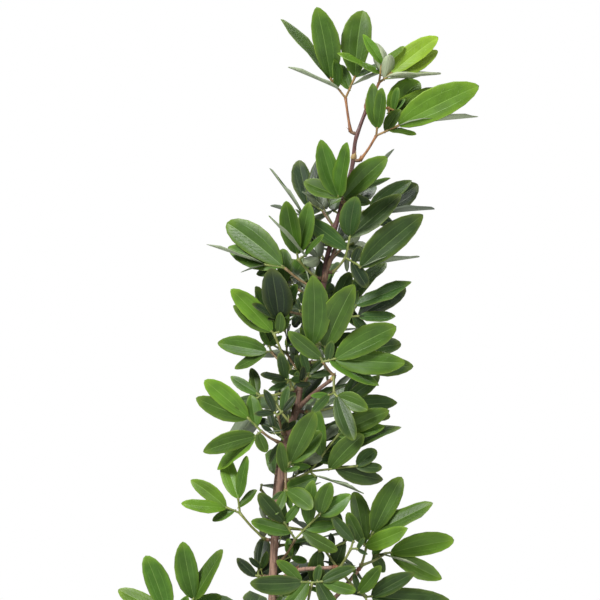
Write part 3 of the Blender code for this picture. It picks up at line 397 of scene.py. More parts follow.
def lengths(line):
    """How far along the line each of its points is."""
    gone = [0.0]
    for a, b in zip(line, line[1:]):
        gone.append(gone[-1] + (b - a).length)
    return gone


def along_line(line, values, share):
    """The point and the value at a share of the line's length."""
    gone = lengths(line)
    goal = share * gone[-1]
    last = len(line) - 2
    step = next((step for step in range(last) if gone[step + 1] >= goal), last)
    part = (goal - gone[step]) / max(gone[step + 1] - gone[step], 1e-9)
    part = min(max(part, 0), 1)
    return line[step].lerp(line[step + 1], part), values[step] + (values[step + 1] - values[step]) * part


def rings_along(line, radii, shares):
    """The centres, turns and radii of rings at shares of the line's length."""
    centres, widths = zip(*(along_line(line, radii, share) for share in shares))
    ways = directions(centres)
    turns = [UP.rotation_difference(ways[0])]
    for before, way in zip(ways, ways[1:]):
        turns.append(before.rotation_difference(way) @ turns[-1])
    return centres, [turn.to_matrix() for turn in turns], widths


def grow_tube(mesh, line, radii, sides, ways=None):
    """Runs a ring of so many sides along the line, closed at both ends."""
    ways = ways or directions(line)
    turn = UP.rotation_difference(ways[0])
    frame = Matrix.Translation(line[0]) @ turn.to_matrix().to_4x4() @ Matrix.Scale(radii[0], 4)
    ring = bmesh.ops.create_circle(mesh, cap_ends=True, segments=sides, radius=1, matrix=frame)
    face = ring["verts"][0].link_faces[0]
    face.normal_update()
    if face.normal.dot(ways[0]) < 0:
        face.normal_flip()
    for step in range(1, len(line)):
        turn = ways[step - 1].rotation_difference(ways[step]) @ turn
        ahead = Matrix.Translation(line[step]) @ turn.to_matrix().to_4x4() @ Matrix.Scale(radii[step], 4)
        made = bmesh.ops.extrude_face_region(mesh, geom=[face])["geom"]
        if step > 1:
            bmesh.ops.delete(mesh, geom=[face], context="FACES_ONLY")
        corners = [part for part in made if isinstance(part, bmesh.types.BMVert)]
        bmesh.ops.transform(mesh, matrix=ahead @ frame.inverted(), verts=corners)
        face = next(part for part in made if isinstance(part, bmesh.types.BMFace))
        frame = ahead


def search_tree(build):
    """A search tree of whatever the function builds."""
    form = bmesh.new()
    build(form)
    tree = BVHTree.FromBMesh(form)
    form.free()
    return tree


def node_tree(name):
    """A search tree of a node of the model."""
    return search_tree(lambda form: form.from_mesh(NODES[name].data))


class Limb:
    """The trunk or a bough of the model: its centreline, its radii and the way it runs."""

    def __init__(self, name, row, trunk=None):
        base, tip, *route = row
        base, tip = base * MM, tip * MM
        self.name = name
        self.line = smooth_line([Vector(point) * MM for point in route], ROUTE_STEPS)
        gone = lengths(self.line)
        self.radii = [base + (tip - base) * (part / gone[-1]) for part in gone]
        if trunk:
            self.root, radius, along = trunk.at(self.line[0].z / MM)
            out = self.line[1] - self.root
            out = (out - out.project(along)).normalized()
            clear = radius + GAP + base
            away = [(spot - trunk.at(spot.z / MM)[0]).length for spot in self.line]
            step = next((step for step, far in enumerate(away) if far > clear), 1)
            self.line = [self.root + out * (radius + GAP)] + self.line[step:]
            self.radii = [self.radii[0]] + self.radii[step:]
        else:
            foot = self.line[0].z + GAP
            self.line[0].z = foot
            self.root, out = self.line[0].copy(), UP.copy()
            for step, spot in enumerate(self.line):
                self.radii[step] += FLARE * math.exp(-3 * max(0.0, spot.z - foot) / FLARE_HEIGHT)
        self.ways = directions(self.line)
        self.ways[0] = out
        self.tree = node_tree(name)

    def at(self, height):
        """The centre, radius and way of the limb at a height in mm."""
        height *= MM
        for step, (a, b) in enumerate(zip(self.line, self.line[1:])):
            if a.z <= height <= b.z:
                part = (height - a.z) / max(b.z - a.z, 1e-9)
                radius = self.radii[step] + (self.radii[step + 1] - self.radii[step]) * part
                return a.lerp(b, part), radius, (b - a).normalized()
        end = 0 if height < self.line[0].z else -1
        return self.line[end].copy(), self.radii[end], self.ways[end]


def heading(bearing, lean):
    """The way of a bearing seen from the front, leaned to the front by so many degrees."""
    angle = math.radians(bearing)
    flat = Vector((math.cos(angle), 0, math.sin(angle)))
    lean = math.radians(lean)
    return flat * math.cos(lean) + FRONT * math.sin(lean)


def faced(way, toward, twist):
    """A blade's upward normal: square to its way, facing as given, then turned round its way."""
    normal = (toward - toward.project(way)).normalized()
    both = [Quaternion(way, math.radians(sign * abs(twist))) @ normal for sign in (1, -1)]
    both.sort(key=lambda n: n.dot(UP + way * 0.2))
    return both[1] if twist >= 0 else both[0]


def blade_form(form, root, way, normal, length, width, slant, outline):
    """Adds a blade: a thin lens, folded along its midrib, with its tip falling back."""
    around = 2 * len(outline) + 2
    made = bmesh.ops.create_uvsphere(form, u_segments=around, v_segments=2, radius=1)["verts"]
    side = normal.cross(way)
    for corner in made:
        if abs(corner.co.z) > 0.5:
            along, across = BLADE_MIDDLE, 0
            rise = math.copysign(BLADE_THICKNESS * length / 2, corner.co.z)
        else:
            angle = math.atan2(corner.co.y, corner.co.x)
            along, across = ((0, 0), *outline, (1, 0))[round(abs(angle) / math.tau * around)]
            across *= math.copysign(width / 2, angle) * (1 + slant * math.copysign(1, angle))
            rise = BLADE_FOLD * abs(across) * 2
        rise -= BLADE_CURL * length * along * along
        corner.co = root + way * (along * length) + side * across + normal * rise
    return made


def roomy_blade(form, root, way, normal, length, width, slant, outline):
    """A blade with the clear space that it keeps, for finding what it touches."""
    part = 0.16 * length
    spot = root + way * part
    made = blade_form(form, spot, way, normal, length - part + ROOM, width + 2 * ROOM, slant, outline)
    centre = spot + way * length * 0.4
    for corner in made:
        corner.co += normal * math.copysign(ROOM, (corner.co - centre).dot(normal))


class Blade(NamedTuple):
    """A leaflet where it grew."""

    root: Vector
    way: Vector
    normal: Vector
    length: float
    width: float
    slant: float
    small: bool
    leaf: int


class Twig(NamedTuple):
    """A stem, stalk, rib or young shoot where it grew."""

    kind: str
    line: list
    radii: list
    ways: list


class Growth:
    """Grows one mass, keeping clear of all that grew before it."""

    def __init__(self, key, taken, inside=lambda spot: True):
        self.key = key
        self.name = "leaves_" + key
        self.seen = key in SEEN
        self.taken = taken
        self.inside = inside
        self.own = []
        self.twigs = []
        self.blades = []
        self.leaf = 0

    def hits(self, tree, others_only=False):
        """Whether the tree's faces cross anything."""
        return any(tree.overlap(other) for other in (self.taken if others_only else self.taken + self.own))

    def twig(self, line, radii, ways=None, kind="stalk"):
        """Adds a twig, or tells that there is no room for it."""
        wide = [radius + ROOM * 0.5 for radius in radii]
        tree = search_tree(lambda form: grow_tube(form, line, wide, TWIG_SIDES, ways))
        if self.hits(tree, others_only=True):
            return False
        self.twigs.append(Twig(kind, line, radii, ways or directions(line)))
        return True

    def stem(self, limb, height, way):
        """The short stem of a mass, at a height or at the limb's tip: its far node and its limb's centre."""
        if height:
            centre, radius, along = limb.at(height)
            out = (way - way.project(along)).normalized()
            start = centre + out * (radius + GAP)
        else:
            centre, out = limb.line[-1], limb.ways[-1].copy()
            start = centre + out * GAP
        knee = start + out * COLLAR
        node = knee + (way + out * 0.4).normalized() * 2 * MM
        radii = [STALK_RADIUS * 1.15, STALK_RADIUS * 1.15, STALK_RADIUS]
        grown = self.twig([start, knee, node], radii, [out, (out + way).normalized(), way], "stem")
        return (node if grown else None), centre

    def stalk(self, node, fork):
        """A stalk from the stem's node to a leaf's fork, sagging a little."""
        way = (fork - node).normalized()
        bow = node.lerp(fork, 0.5) - UP * 0.05 * (fork - node).length
        radii = [STALK_RADIUS, STALK_RADIUS * 0.9, STALK_RADIUS * 0.85]
        return self.twig([node - way * TWIG_ROOT, bow, fork], radii)

    def rib(self, fork, way, tip):
        """A rib from a leaf's fork to its tip."""
        return self.twig([fork - way * TWIG_ROOT, tip], [RIB_RADIUS * 1.1, RIB_RADIUS], kind="rib")

    def blade(self, root, way, normal, length, small, slant, pivot, outline, broad=1):
        """Adds a blade. Where it has no room it is turned about the pivot axis, then left out."""
        width = length * (SMALL_BLADE_WIDTH if small else BLADE_WIDTH) * broad
        for turn in TURNS:
            spin = Quaternion(pivot, math.radians(turn))
            new_way = spin @ way
            if not self.inside(root + new_way * length):
                continue
            start = root - new_way * BLADE_ROOT
            size = (start, new_way, spin @ normal, length + BLADE_ROOT, width, slant, outline)
            room = search_tree(lambda form: roomy_blade(form, *size))
            full = search_tree(lambda form: blade_form(form, *size))
            if not self.hits(room) and not self.hits(full, others_only=True):
                self.blades.append(Blade(*size[:6], small, self.leaf))
                self.own.append(full)
                return


def grow_seen(growth, limb, height, leaves):
    """Grows a mass of the photographed side from its leaves."""
    rng = random.Random(growth.name)
    node = None
    for growth.leaf, (_, bearing, toward, stalk, lean, *ribs) in enumerate(leaves):
        stalk_way = heading(bearing, toward)
        if node is None:
            node, centre = growth.stem(limb, height, stalk_way)
            if node is None:
                return
        fork = centre + stalk_way * stalk * MM
        if not growth.stalk(node, fork):
            continue
        for number, (rib_bearing, length, *blades) in enumerate(ribs):
            rib_way = heading(rib_bearing, lean)
            tip = fork + rib_way * length * MM
            if not growth.rib(fork, rib_way, tip):
                continue
            middle = (blades[0][0] + blades[1][0]) / 2
            if len(blades) == 2 and length > 6:
                outer = 1 if rib_bearing >= ribs[1 - number][0] else -1
                size = max(blade[1] for blade in blades) * SMALL_BLADE * rng.uniform(0.85, 1.15)
                blades.append((middle + outer * rng.uniform(48, 66), size, rng.uniform(5, 35)))
            for order, (blade_bearing, seen, twist, *broad) in enumerate(blades):
                sway = lean + rng.uniform(-BLADE_SWAY, BLADE_SWAY)
                way = heading(blade_bearing, sway)
                normal = faced(way, FRONT, twist)
                full = seen * MM / math.cos(math.radians(sway))
                slant = BLADE_SLANT if blade_bearing > middle else -BLADE_SLANT
                small = order > 1 and seen < SMALL_SEEN
                outline = PLAIN_OUTLINE if small else SEEN_OUTLINE
                step = (BLADE_STEP, -BLADE_STEP, 0, 0, 0)[order]
                spot = fork.lerp(tip, BLADE_SHARES[order]) + normal * step
                growth.blade(spot, way, normal, full, small, slant, FRONT.cross(way), outline, *broad)


def grow_hidden(growth, limb, height, azimuth, rise):
    """Grows a mass by the rule alone: a short shoot with two or three leaves."""
    rng = random.Random(growth.name)

    def outward(around, lift):
        flat = Vector((math.cos(around), math.sin(around), 0))
        return flat, flat * math.cos(lift) + UP * math.sin(lift)

    around = math.radians(azimuth)
    node, _ = growth.stem(limb, height, outward(around, math.radians(rise))[1])
    if node is None:
        return
    for growth.leaf, sweep in enumerate((-44, 42, 0) if growth.key.startswith("low_") else (-26, 28)):
        turn = around + math.radians(sweep + rng.uniform(-8, 8))
        tilt = math.radians(rise + rng.uniform(-14, 16) + (26 if sweep == 0 else 0))
        flat, line_way = outward(turn, tilt)
        normal = faced(line_way, UP + flat * 0.35, rng.uniform(-16, 16))
        fork = node + line_way * HIDDEN_STALK * MM * rng.uniform(0.8, 1.25)
        if not growth.stalk(node, fork):
            continue
        for side in (1, -1):
            split = Quaternion(normal, math.radians(side * HIDDEN_SPLIT * rng.uniform(0.8, 1.2)))
            rib_way = split @ line_way
            tip = fork + rib_way * HIDDEN_RIB * MM * rng.uniform(0.7, 1.3)
            if not growth.rib(fork, rib_way, tip):
                continue
            for twin in (1, -1, 2) if rng.random() < 0.4 else (1, -1):
                small = twin == 2
                spread = side * HIDDEN_LOW_SPREAD if small else twin * HIDDEN_SPREAD
                spin = Quaternion(normal, math.radians(spread * rng.uniform(0.8, 1.2)))
                way = (spin @ rib_way - UP * rng.uniform(0, 0.16)).normalized()
                face = faced(way, normal, rng.uniform(5, 34))
                size = HIDDEN_BLADE * MM * (rng.uniform(0.38, 0.52) if small else rng.uniform(0.82, 1.16))
                spot = fork.lerp(tip, 0.5) if small else tip + face * twin * BLADE_STEP
                slant = math.copysign(BLADE_SLANT, twin)
                growth.blade(spot, way, face, size, small, slant, normal.cross(way), PLAIN_OUTLINE)


def grow_young(growth):
    """Carries a mass on to finer twigs: young shoots at its node and forks, with small leaflets."""
    rng = random.Random(growth.name + " young")
    growth.own = []
    shoot_size, blade_size = (YOUNG_SHOOT, YOUNG_BLADE) if growth.seen else (BACK_SHOOT, BACK_BLADE)
    feet = [twig for twig in growth.twigs if twig.kind == "stem"] * 3
    if not growth.seen:
        feet += [twig for twig in growth.twigs if twig.kind == "stalk"]
    for foot in feet:
        spot = foot.line[-1]
        aside = Vector((rng.uniform(-1, 1), rng.uniform(-1, 1), rng.uniform(-0.3, 1))).normalized()
        way = (foot.ways[-1] * YOUNG_AHEAD + aside).normalized()
        tip = spot + way * rng.uniform(*shoot_size) * MM
        outward = FRONT if growth.seen else Vector((rng.choice((-1, 1)), 0, 0.3))
        across = faced(way, outward, rng.uniform(-20, 20))
        outer = [spot.lerp(tip, 0.4), tip]
        wide = [YOUNG_RADIUS * 1.4] * 2
        if growth.hits(search_tree(lambda form: grow_tube(form, outer, wide, TWIG_SIDES))):
            continue
        before = len(growth.blades)
        for turn in YOUNG_TURNS:
            leaf_way = Quaternion(across, math.radians(turn + rng.uniform(-9, 9))) @ way
            face = faced(leaf_way, across, rng.uniform(-24, 24))
            size = rng.uniform(*blade_size) * MM
            root = tip - way * abs(turn) / 48 * 0.8 * MM
            slant = math.copysign(0.12, turn)
            growth.blade(root, leaf_way, face, size, False, slant, across, PLAIN_OUTLINE, YOUNG_WIDTH)
        if len(growth.blades) > before:
            growth.twigs.append(Twig("shoot", [spot, tip], [YOUNG_RADIUS, YOUNG_RADIUS * 0.8], [way, way]))


def hidden_room(key, trunk, left, right):
    """Where the tips of a hidden mass's blades may be."""

    def inside(spot):
        aside = spot.x - trunk.at(spot.z / MM)[0].x
        return -left * MM < aside < right * MM and (not key.startswith("low_") or spot.z < LOW_CEILING)

    return inside


def grow_plant():
    """Grows every limb and mass where the model has them."""
    trunk = Limb("trunk", TRUNK)
    limbs = {"trunk": trunk, **{name: Limb(name, row, trunk) for name, row in BOUGHS.items()}}
    taken = [limb.tree for limb in limbs.values()] + [node_tree("soil")]
    growths = []
    for key, (limb, height, *row) in {**SEEN, **HIDDEN}.items():
        for shift in SHIFTS:
            where = (limbs[limb], height and height + shift)
            if key in SEEN:
                growth = Growth(key, taken)
                grow_seen(growth, *where, row)
            else:
                azimuth, rise, left, right = row
                growth = Growth(key, taken, hidden_room(key, trunk, left, right))
                grow_hidden(growth, *where, azimuth, rise)
            if len(growth.blades) > 2:
                break
        growths.append(growth)
        taken.append(node_tree(growth.name))
    for growth in growths:
        if not growth.seen or growth.key in YOUNG_IN:
            growth.taken = taken
            grow_young(growth)
    return limbs, growths


def leaflet_form():
    """A flat leaflet, closed: x across, y along, and z 0 above and -1 under the midrib."""
    form = bmesh.new()
    along = len(LEAFLET_ROWS) - 1
    for columns, depth in ((LEAFLET_COLUMNS, 0), ((-1, 0, 1), -1)):
        across = len(columns) - 1
        made = bmesh.ops.create_grid(form, x_segments=across, y_segments=along, size=1)["verts"]
        for corner in made:
            column = round((corner.co.x + 1) / 2 * across)
            row = round((corner.co.y + 1) / 2 * along)
            end = row in (0, along)
            inner = 0 < column < across and not end
            corner.co = (0 if end else columns[column], LEAFLET_ROWS[row], depth if inner else 0)
        if depth:
            bmesh.ops.reverse_faces(form, faces=list({face for corner in made for face in corner.link_faces}))
    bmesh.ops.remove_doubles(form, verts=form.verts[:], dist=1e-4)
    return form


def tube_form(sides, rings):
    """A tube of radius 1 round Z from 0 to 1, closed, with so many rings along it."""
    form = bmesh.new()
    raised = Matrix.Translation((0, 0, 0.5))
    bmesh.ops.create_cone(form, cap_ends=True, segments=sides, radius1=1, radius2=1, depth=1, matrix=raised)
    upright = [edge for edge in form.edges if abs(edge.verts[0].co.z - edge.verts[1].co.z) > 0.5]
    bmesh.ops.subdivide_edges(form, edges=upright, cuts=rings - 2, use_grid_fill=True)
    return form


def scale_form():
    """A pointed scale from 0 to 1 along Z."""
    form = bmesh.new()
    bmesh.ops.create_uvsphere(form, u_segments=6, v_segments=5, radius=1)
    for corner in form.verts:
        up = (corner.co.z + 1) / 2
        wide = 0.36 * math.sin(math.pi * min(1, up * 1.25 + 0.08) ** 0.8) if up < 0.99 else 0
        flat = Vector((corner.co.x, corner.co.y)).normalized() if 0.01 < up < 0.99 else Vector((0, 0))
        corner.co = (*(flat * max(wide, 0.02)), up)
    return form


def crumb_form():
    """A rough lump of radius 1."""
    form = bmesh.new()
    bmesh.ops.create_icosphere(form, subdivisions=1, radius=1)
    for corner in form.verts:
        corner.co *= 1 + 0.35 * noise.noise(corner.co * 1.7)
    return form


class Pattern:
    """A small shape kept as arrays, to be joined many times into one mesh."""

    def __init__(self, form, slot_of=lambda face: 0):
        bmesh.ops.recalc_face_normals(form, faces=form.faces[:])
        form.verts.index_update()
        self.co = np.array([tuple(corner.co) for corner in form.verts])
        self.loops = np.array([corner.index for face in form.faces for corner in face.verts])
        self.totals = np.array([len(face.verts) for face in form.faces])
        self.slots = np.array([slot_of(face) for face in form.faces])
        form.free()

    def join(self, name, places, tones=None, flat=False):
        """One mesh of the pattern's corners at all the places, an array of each place's corners."""
        count, corners = len(places), len(self.co)
        co = np.concatenate(places).astype(np.float32)
        loops = (self.loops[None] + corners * np.arange(count)[:, None]).ravel()
        totals = np.tile(self.totals, count)
        mesh = bpy.data.meshes.new(name)
        mesh.vertices.add(len(co))
        mesh.vertices.foreach_set("co", co.ravel())
        mesh.loops.add(len(loops))
        mesh.loops.foreach_set("vertex_index", loops.astype(np.int32))
        mesh.polygons.add(len(totals))
        starts = np.concatenate(([0], np.cumsum(totals)[:-1]))
        for field, values in (
            ("loop_start", starts), ("loop_total", totals), ("material_index", np.tile(self.slots, count)),
        ):
            mesh.polygons.foreach_set(field, values.astype(np.int32))
        mesh.polygons.foreach_set("use_smooth", np.full(len(totals), not flat))
        mesh.update(calc_edges=True)
        plan = np.stack([self.co[:, 0] / 2 + 0.5, self.co[:, 1]], axis=1)
        chart = mesh.uv_layers.new(name="pattern")
        chart.data.foreach_set("uv", np.tile(plan[self.loops], (count, 1)).astype(np.float32).ravel())
        if tones is not None:
            tone = mesh.attributes.new("tone", "FLOAT", "POINT")
            tone.data.foreach_set("value", np.repeat(np.array(tones), corners).astype(np.float32))
        return mesh


def leaflet_corners(pattern, blade, rng):
    """Where the pattern's corners come on a blade: folded, puffed, waved and falling at its tip."""
    across, along, depth = pattern.co.T
    root = blade.root + blade.way * LEAFLET_ROOT
    length = blade.length - LEAFLET_ROOT
    low = rng.uniform(0.58, 0.72)
    high = rng.uniform(0.52, 0.74)
    with np.errstate(divide="ignore"):
        full = (low / (low + high)) ** low * (high / (low + high)) ** high
        outline = along**low * (1 - along) ** high / full
    lop = 1 + blade.slant * np.sign(across) * (1.25 - 0.8 * along)
    half = blade.width / 2
    out = across * half * outline * lop
    sweep = half * rng.uniform(0.05, 0.28) * math.copysign(1, blade.slant) * (along - along**2) * 2
    reach = np.abs(across)
    fold = 2 * BLADE_FOLD * rng.uniform(0.7, 2.1)
    puff = LEAFLET_PUFF * rng.uniform(0.5, 1.4) * blade.width
    upper = fold * np.abs(out) + puff * np.sin(np.pi * np.clip(reach, 0, 1) ** 0.8) * outline
    upper -= MIDRIB_GROOVE * blade.width * (reach < 0.1) * outline
    rise = np.where(depth < -0.5, -BLADE_THICKNESS * 0.55 * length * outline, upper)
    wave = rng.uniform(0.5, 1.5) * LEAFLET_RUFFLE * length
    phase = rng.uniform(0, math.tau)
    turns = rng.uniform(1.1, 2.0)
    rise += wave * np.sin(along * turns * math.tau + phase + np.sign(across) * 0.9) * reach**2 * outline
    rise -= BLADE_CURL * rng.uniform(0.6, 1.7) * length * along**2
    twist = np.radians(rng.uniform(-11, 11)) * (along - 0.3)
    flat = (out + sweep) * np.cos(twist) - rise * np.sin(twist)
    rise = (out + sweep) * np.sin(twist) + rise * np.cos(twist)
    moves = ((along * length, blade.way), (flat, blade.normal.cross(blade.way)), (rise, blade.normal))
    return np.array(root) + sum(np.outer(far, way) for far, way in moves)


def tube_corners(pattern, line, radii, kind):
    """Where the pattern's corners come on a twig of a kind along the line."""
    shares = sorted({round(z, 5) for z in pattern.co[:, 2]})
    centres, turns, widths = rings_along(line, radii, shares)
    widths = [width * swell(kind, share) for width, share in zip(widths, shares)]
    places = []
    for x, y, z in pattern.co:
        step = shares.index(round(z, 5))
        places.append(centres[step] + turns[step] @ Vector((x, y, 0)) * widths[step])
    return np.array(places)


# How wide each kind of twig is: its level, the depth and number of its waves, then how much it swells at
# its root and at its tip and how sharply
SWELLS = {
    "stem": (1, 0.16, 19, 0, 1, 0.25, 5),
    "stalk": (0.92, 0, 0, 0.5, 6, 0.35, 9),
    "shoot": (1, 0, 0, 0.4, 5, 0, 1),
    "rib": (1, 0, 0, 0, 1, 0.35, 6),
    "spur": (1, 0.22, 17, 0.3, 5, 0, 1),
}


def swell(kind, share):
    """How many times its radius a twig is wide at a share of its length."""
    level, depth, waves, root, root_sharp, tip, tip_sharp = SWELLS[kind]
    ends = root * math.exp(-((share * root_sharp) ** 2)) + tip * math.exp(-(((1 - share) * tip_sharp) ** 2))
    return level + depth * math.sin(share * waves) + ends


def set_at(pattern, spot, way, wide, long, roll=0.0):
    """Where the pattern's corners come, stood on a spot along a way."""
    turn = (UP.rotation_difference(way) @ Quaternion(UP, roll)).to_matrix()
    return pattern.co @ (np.array(turn) @ np.diag((wide, wide, long))).T + np.array(spot)


def finished(form, name, smooth=True):
    """The form as a mesh."""
    for face in form.faces:
        face.smooth = smooth
    mesh = bpy.data.meshes.new(name)
    form.to_mesh(mesh)
    form.free()
    return mesh


def put(name, data):
    """Puts a mesh, a lamp or a camera in the scene."""
    item = bpy.data.objects.new(name, data)
    bpy.context.scene.collection.objects.link(item)
    return item


def new_piece(mesh, looks, nodes):
    """Puts a mesh in the scene as a piece of the plant, in place of the model's nodes."""
    item = put(mesh.name, mesh)
    for look in looks:
        mesh.materials.append(look)
    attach(item, "root")
    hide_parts(*sorted(nodes))
    return item


class Wire:
    """What a node of a look gives, reckoned with like a number."""

    def __init__(self, look, socket):
        self.look = look
        self.socket = socket

    def maths(self, operation, *others, clamp=False):
        """The result of a maths node."""
        sources = enumerate((self, *others))
        return self.look.add("ShaderNodeMath", sources, operation=operation, use_clamp=clamp)

    def __add__(self, other):
        return self.maths("ADD", other)

    def __sub__(self, other):
        return self.maths("SUBTRACT", other)

    def __mul__(self, other):
        return self.maths("MULTIPLY", other)

    def __abs__(self):
        return self.maths("ABSOLUTE")

    def spread(self, low, high, to_low=0.0, to_high=1.0):
        """Its range from low to high, spread over another."""
        links = zip(("Value", "From Min", "From Max", "To Min", "To Max"), (self, low, high, to_low, to_high))
        return self.look.add("ShaderNodeMapRange", links, interpolation_type="SMOOTHSTEP")


class Look:
    """A node material, built up socket by socket."""

    def __init__(self, name, roughness, **sockets):
        self.item = bpy.data.materials.new(name)
        self.item.use_nodes = True
        self.tree = self.item.node_tree
        self.shader = self.tree.nodes["Principled BSDF"]
        self.wear(Roughness=roughness, **sockets)

    def feed(self, node, socket, source):
        """Links a wire to a node's socket, or sets a plain value on it."""
        if isinstance(source, Wire):
            self.tree.links.new(source.socket, node.inputs[socket])
        else:
            node.inputs[socket].default_value = source

    def wear(self, **sockets):
        """Feeds sockets of the shader itself."""
        for socket, source in sockets.items():
            self.feed(self.shader, socket.replace("_", " "), source)

    def add(self, kind, links=(), output=0, **values):
        """What a new node gives. Its links are (its socket, what feeds it)."""
        node = self.tree.nodes.new(kind)
        for field, value in values.items():
            setattr(node, field, value)
        for socket, source in links:
            self.feed(node, socket, source)
        return Wire(self, node.outputs[output])

    def place(self):
        """The object's own coordinates."""
        return self.add("ShaderNodeTexCoord", output="Object")

    def stretched(self, tall):
        """The place, with its height scaled."""
        return self.add("ShaderNodeMapping", (("Vector", self.place()), ("Scale", (1, 1, tall))))

    def part(self, vector, number):
        """One of a vector's three parts."""
        return self.add("ShaderNodeSeparateXYZ", (("Vector", vector),), number)

    def noise(self, source, scale, detail=3.0, roughness=0.55):
        """Noise over a vector."""
        links = zip(("Vector", "Scale", "Detail", "Roughness"), (source, scale, detail, roughness))
        return self.add("ShaderNodeTexNoise", links)

    def blend(self, part, a, b):
        """Colour a turned into colour b by part."""
        colours = [(socket, c if isinstance(c, Wire) else (*c, 1)) for socket, c in ((6, a), (7, b))]
        return self.add("ShaderNodeMix", [(0, part), *colours], 2, data_type="RGBA")

    def ramp(self, source, stops):
        """A colour ramp with (place, colour) stops."""
        wire = self.add("ShaderNodeValToRGB", (("Fac", source),))
        elements = wire.socket.node.color_ramp.elements
        while len(elements) < len(stops):
            elements.new(0.5)
        for element, (spot, colour) in zip(elements, stops):
            element.position = spot
            element.color = (*colour, 1)
        return wire

    def bump(self, height, distance, strength=1.0):
        """Relief of a height between 0 and 1 over a distance in metres."""
        links = (("Height", height), ("Distance", distance), ("Strength", strength))
        self.wear(Normal=self.add("ShaderNodeBump", links))

    def leaf_veins(self, width):
        """How far across a leaflet from its midrib, how far along it, and its two side veins."""
        chart = self.add("ShaderNodeUVMap", uv_map="pattern")
        along = self.part(chart, 1)
        reach = abs(self.part(chart, 0) - 0.5) * 2
        return reach, along, abs(reach - along.maths("MULTIPLY_ADD", 0.14, 0.41)).spread(0.006, width, 1, 0)


def shade(colour, times, more=(0, 0, 0)):
    """A colour made lighter or darker."""
    return tuple(min(1, part * times + add) for part, add in zip(colour, more))


def leaflet_looks(tint):
    """The materials of one green: blade, midrib, margin and under face."""
    upper, under = GREENS[tint]
    pale = shade(upper, 1.35, (0.050, 0.070, 0.016))
    edge = shade(upper, 1.4, (0.075, 0.085, 0.004))
    straw = shade(under, 1.25, (0.07, 0.08, 0.02))

    blade = Look("leaf_" + tint, 0.4, Specular_IOR_Level=0.26)
    spot = blade.place()
    tone = blade.add("ShaderNodeAttribute", output="Fac", attribute_name="tone")
    reach, along, vein = blade.leaf_veins(0.045)
    vein = vein * (along.spread(0.86, 0.62) * along.spread(0.0, 0.08))
    # finer veins leave the midrib
    swept = along * 13 - reach * 2.6 + blade.noise(spot, 260, 1) * 1.1
    rungs = abs((swept * math.pi).maths("SINE")).spread(0.0, 0.16, 1, 0)
    fine = blade.noise(spot, 900, 2)
    colour = blade.blend(blade.noise(spot, 70, 2).spread(0.32, 0.68), shade(upper, 0.84), shade(upper, 1.18))
    for part, goal in (
        (reach.spread(0.55, 1.0) * 0.35, edge), (along.spread(0.80, 1.0) * 0.6, edge),
        (vein * 0.34, pale), (rungs * 0.13, pale),
    ):
        colour = blade.blend(part, colour, goal)
    hue = (("Hue", tone.maths("MULTIPLY_ADD", 0.02, 0.49)), ("Value", tone.maths("MULTIPLY_ADD", 0.5, 0.75)))
    colour = blade.add("ShaderNodeHueSaturation", (*hue, ("Color", colour)))
    blade.wear(Base_Color=colour, Roughness=fine.spread(0.2, 0.8, 0.36, 0.50))
    blade.bump(fine * 0.08 + ((vein * 0.5 + rungs * 0.35) * -1 + 1), 0.0004, 0.45)

    rib = Look("midrib_" + tint, 0.5)
    rib.wear(Base_Color=rib.blend(rib.noise(rib.place(), 300), shade(pale, 0.8), pale))
    margin = Look("margin_" + tint, 0.5)
    margin.wear(Base_Color=margin.blend(margin.noise(margin.place(), 120).spread(0.3, 0.55), upper, edge))

    back = Look("underleaf_" + tint, 0.62)
    spot = back.place()
    reach, _, vein = back.leaf_veins(0.04)
    raised = reach.spread(0.025, 0.075, 1, 0).maths("ADD", vein * 0.35, clamp=True)
    colour = back.blend(back.noise(spot, 90), shade(under, 0.85), shade(under, 1.15))
    back.wear(Base_Color=back.blend(raised * 0.6, colour, straw))
    back.bump(raised + back.noise(spot, 700, 2) * 0.3, 0.0005, 0.5)
    return [look.item for look in (blade, rib, margin, back)]


def leaflet_slot(face):
    """Which of a green's materials a face of the pattern has."""
    if any(corner.co.z < -0.5 for corner in face.verts):
        return 3
    far = [abs(corner.co.x) for corner in face.verts if 0 < corner.co.y < 1]
    middle = sum(far) / len(far)
    return 1 if middle < 0.1 else 2 if middle > 0.93 else 0


def stalk_look(name, light, dark, roughness):
    """A smooth young stem, darker in streaks."""
    look = Look(name, roughness)
    streak = look.noise(look.stretched(0.3), 420)
    look.wear(Base_Color=look.blend(streak.spread(0.35, 0.68), dark, light))
    look.bump(look.noise(look.place(), 1500, 2), 0.00015, 0.5)
    return look.item


def bark_look():
    """Bark: grey-brown low down, brown further up and dark maroon on the young top."""
    look = Look("stem_bark", 0.72)
    spot = look.place()
    height = look.part(spot, 2)
    drift = look.noise(spot, 60).maths("MULTIPLY_ADD", 0.12, height.spread(0.22, 0.78))
    base = look.ramp(drift - 0.06, (
        (0.0, (0.29, 0.195, 0.140)),
        (0.36, (0.345, 0.205, 0.145)),
        (0.46, (0.24, 0.142, 0.100)),
        (0.68, (0.175, 0.098, 0.064)),
        (0.90, (0.092, 0.032, 0.031)),
        (1.0, (0.120, 0.042, 0.036)),
    ))
    fibre = look.noise(look.stretched(0.16), 700, 4, 0.65)
    colour = look.blend(fibre.spread(0.58, 0.40) * 0.5, base, (0.045, 0.026, 0.02))
    # pale breathing pores, wider than tall
    pores = look.add("ShaderNodeTexVoronoi", (("Vector", look.stretched(2.2)), ("Scale", 230)))
    pore = pores.spread(0.24, 0.12)
    colour = look.blend(pore * height.spread(0.72, 0.6) * 0.55, colour, (0.36, 0.29, 0.22))
    look.wear(Base_Color=colour, Roughness=height.spread(0.45, 0.75, 0.82, 0.45))
    look.bump(fibre * 0.8 + pore * 0.5, 0.0006, 0.7)
    return look.item


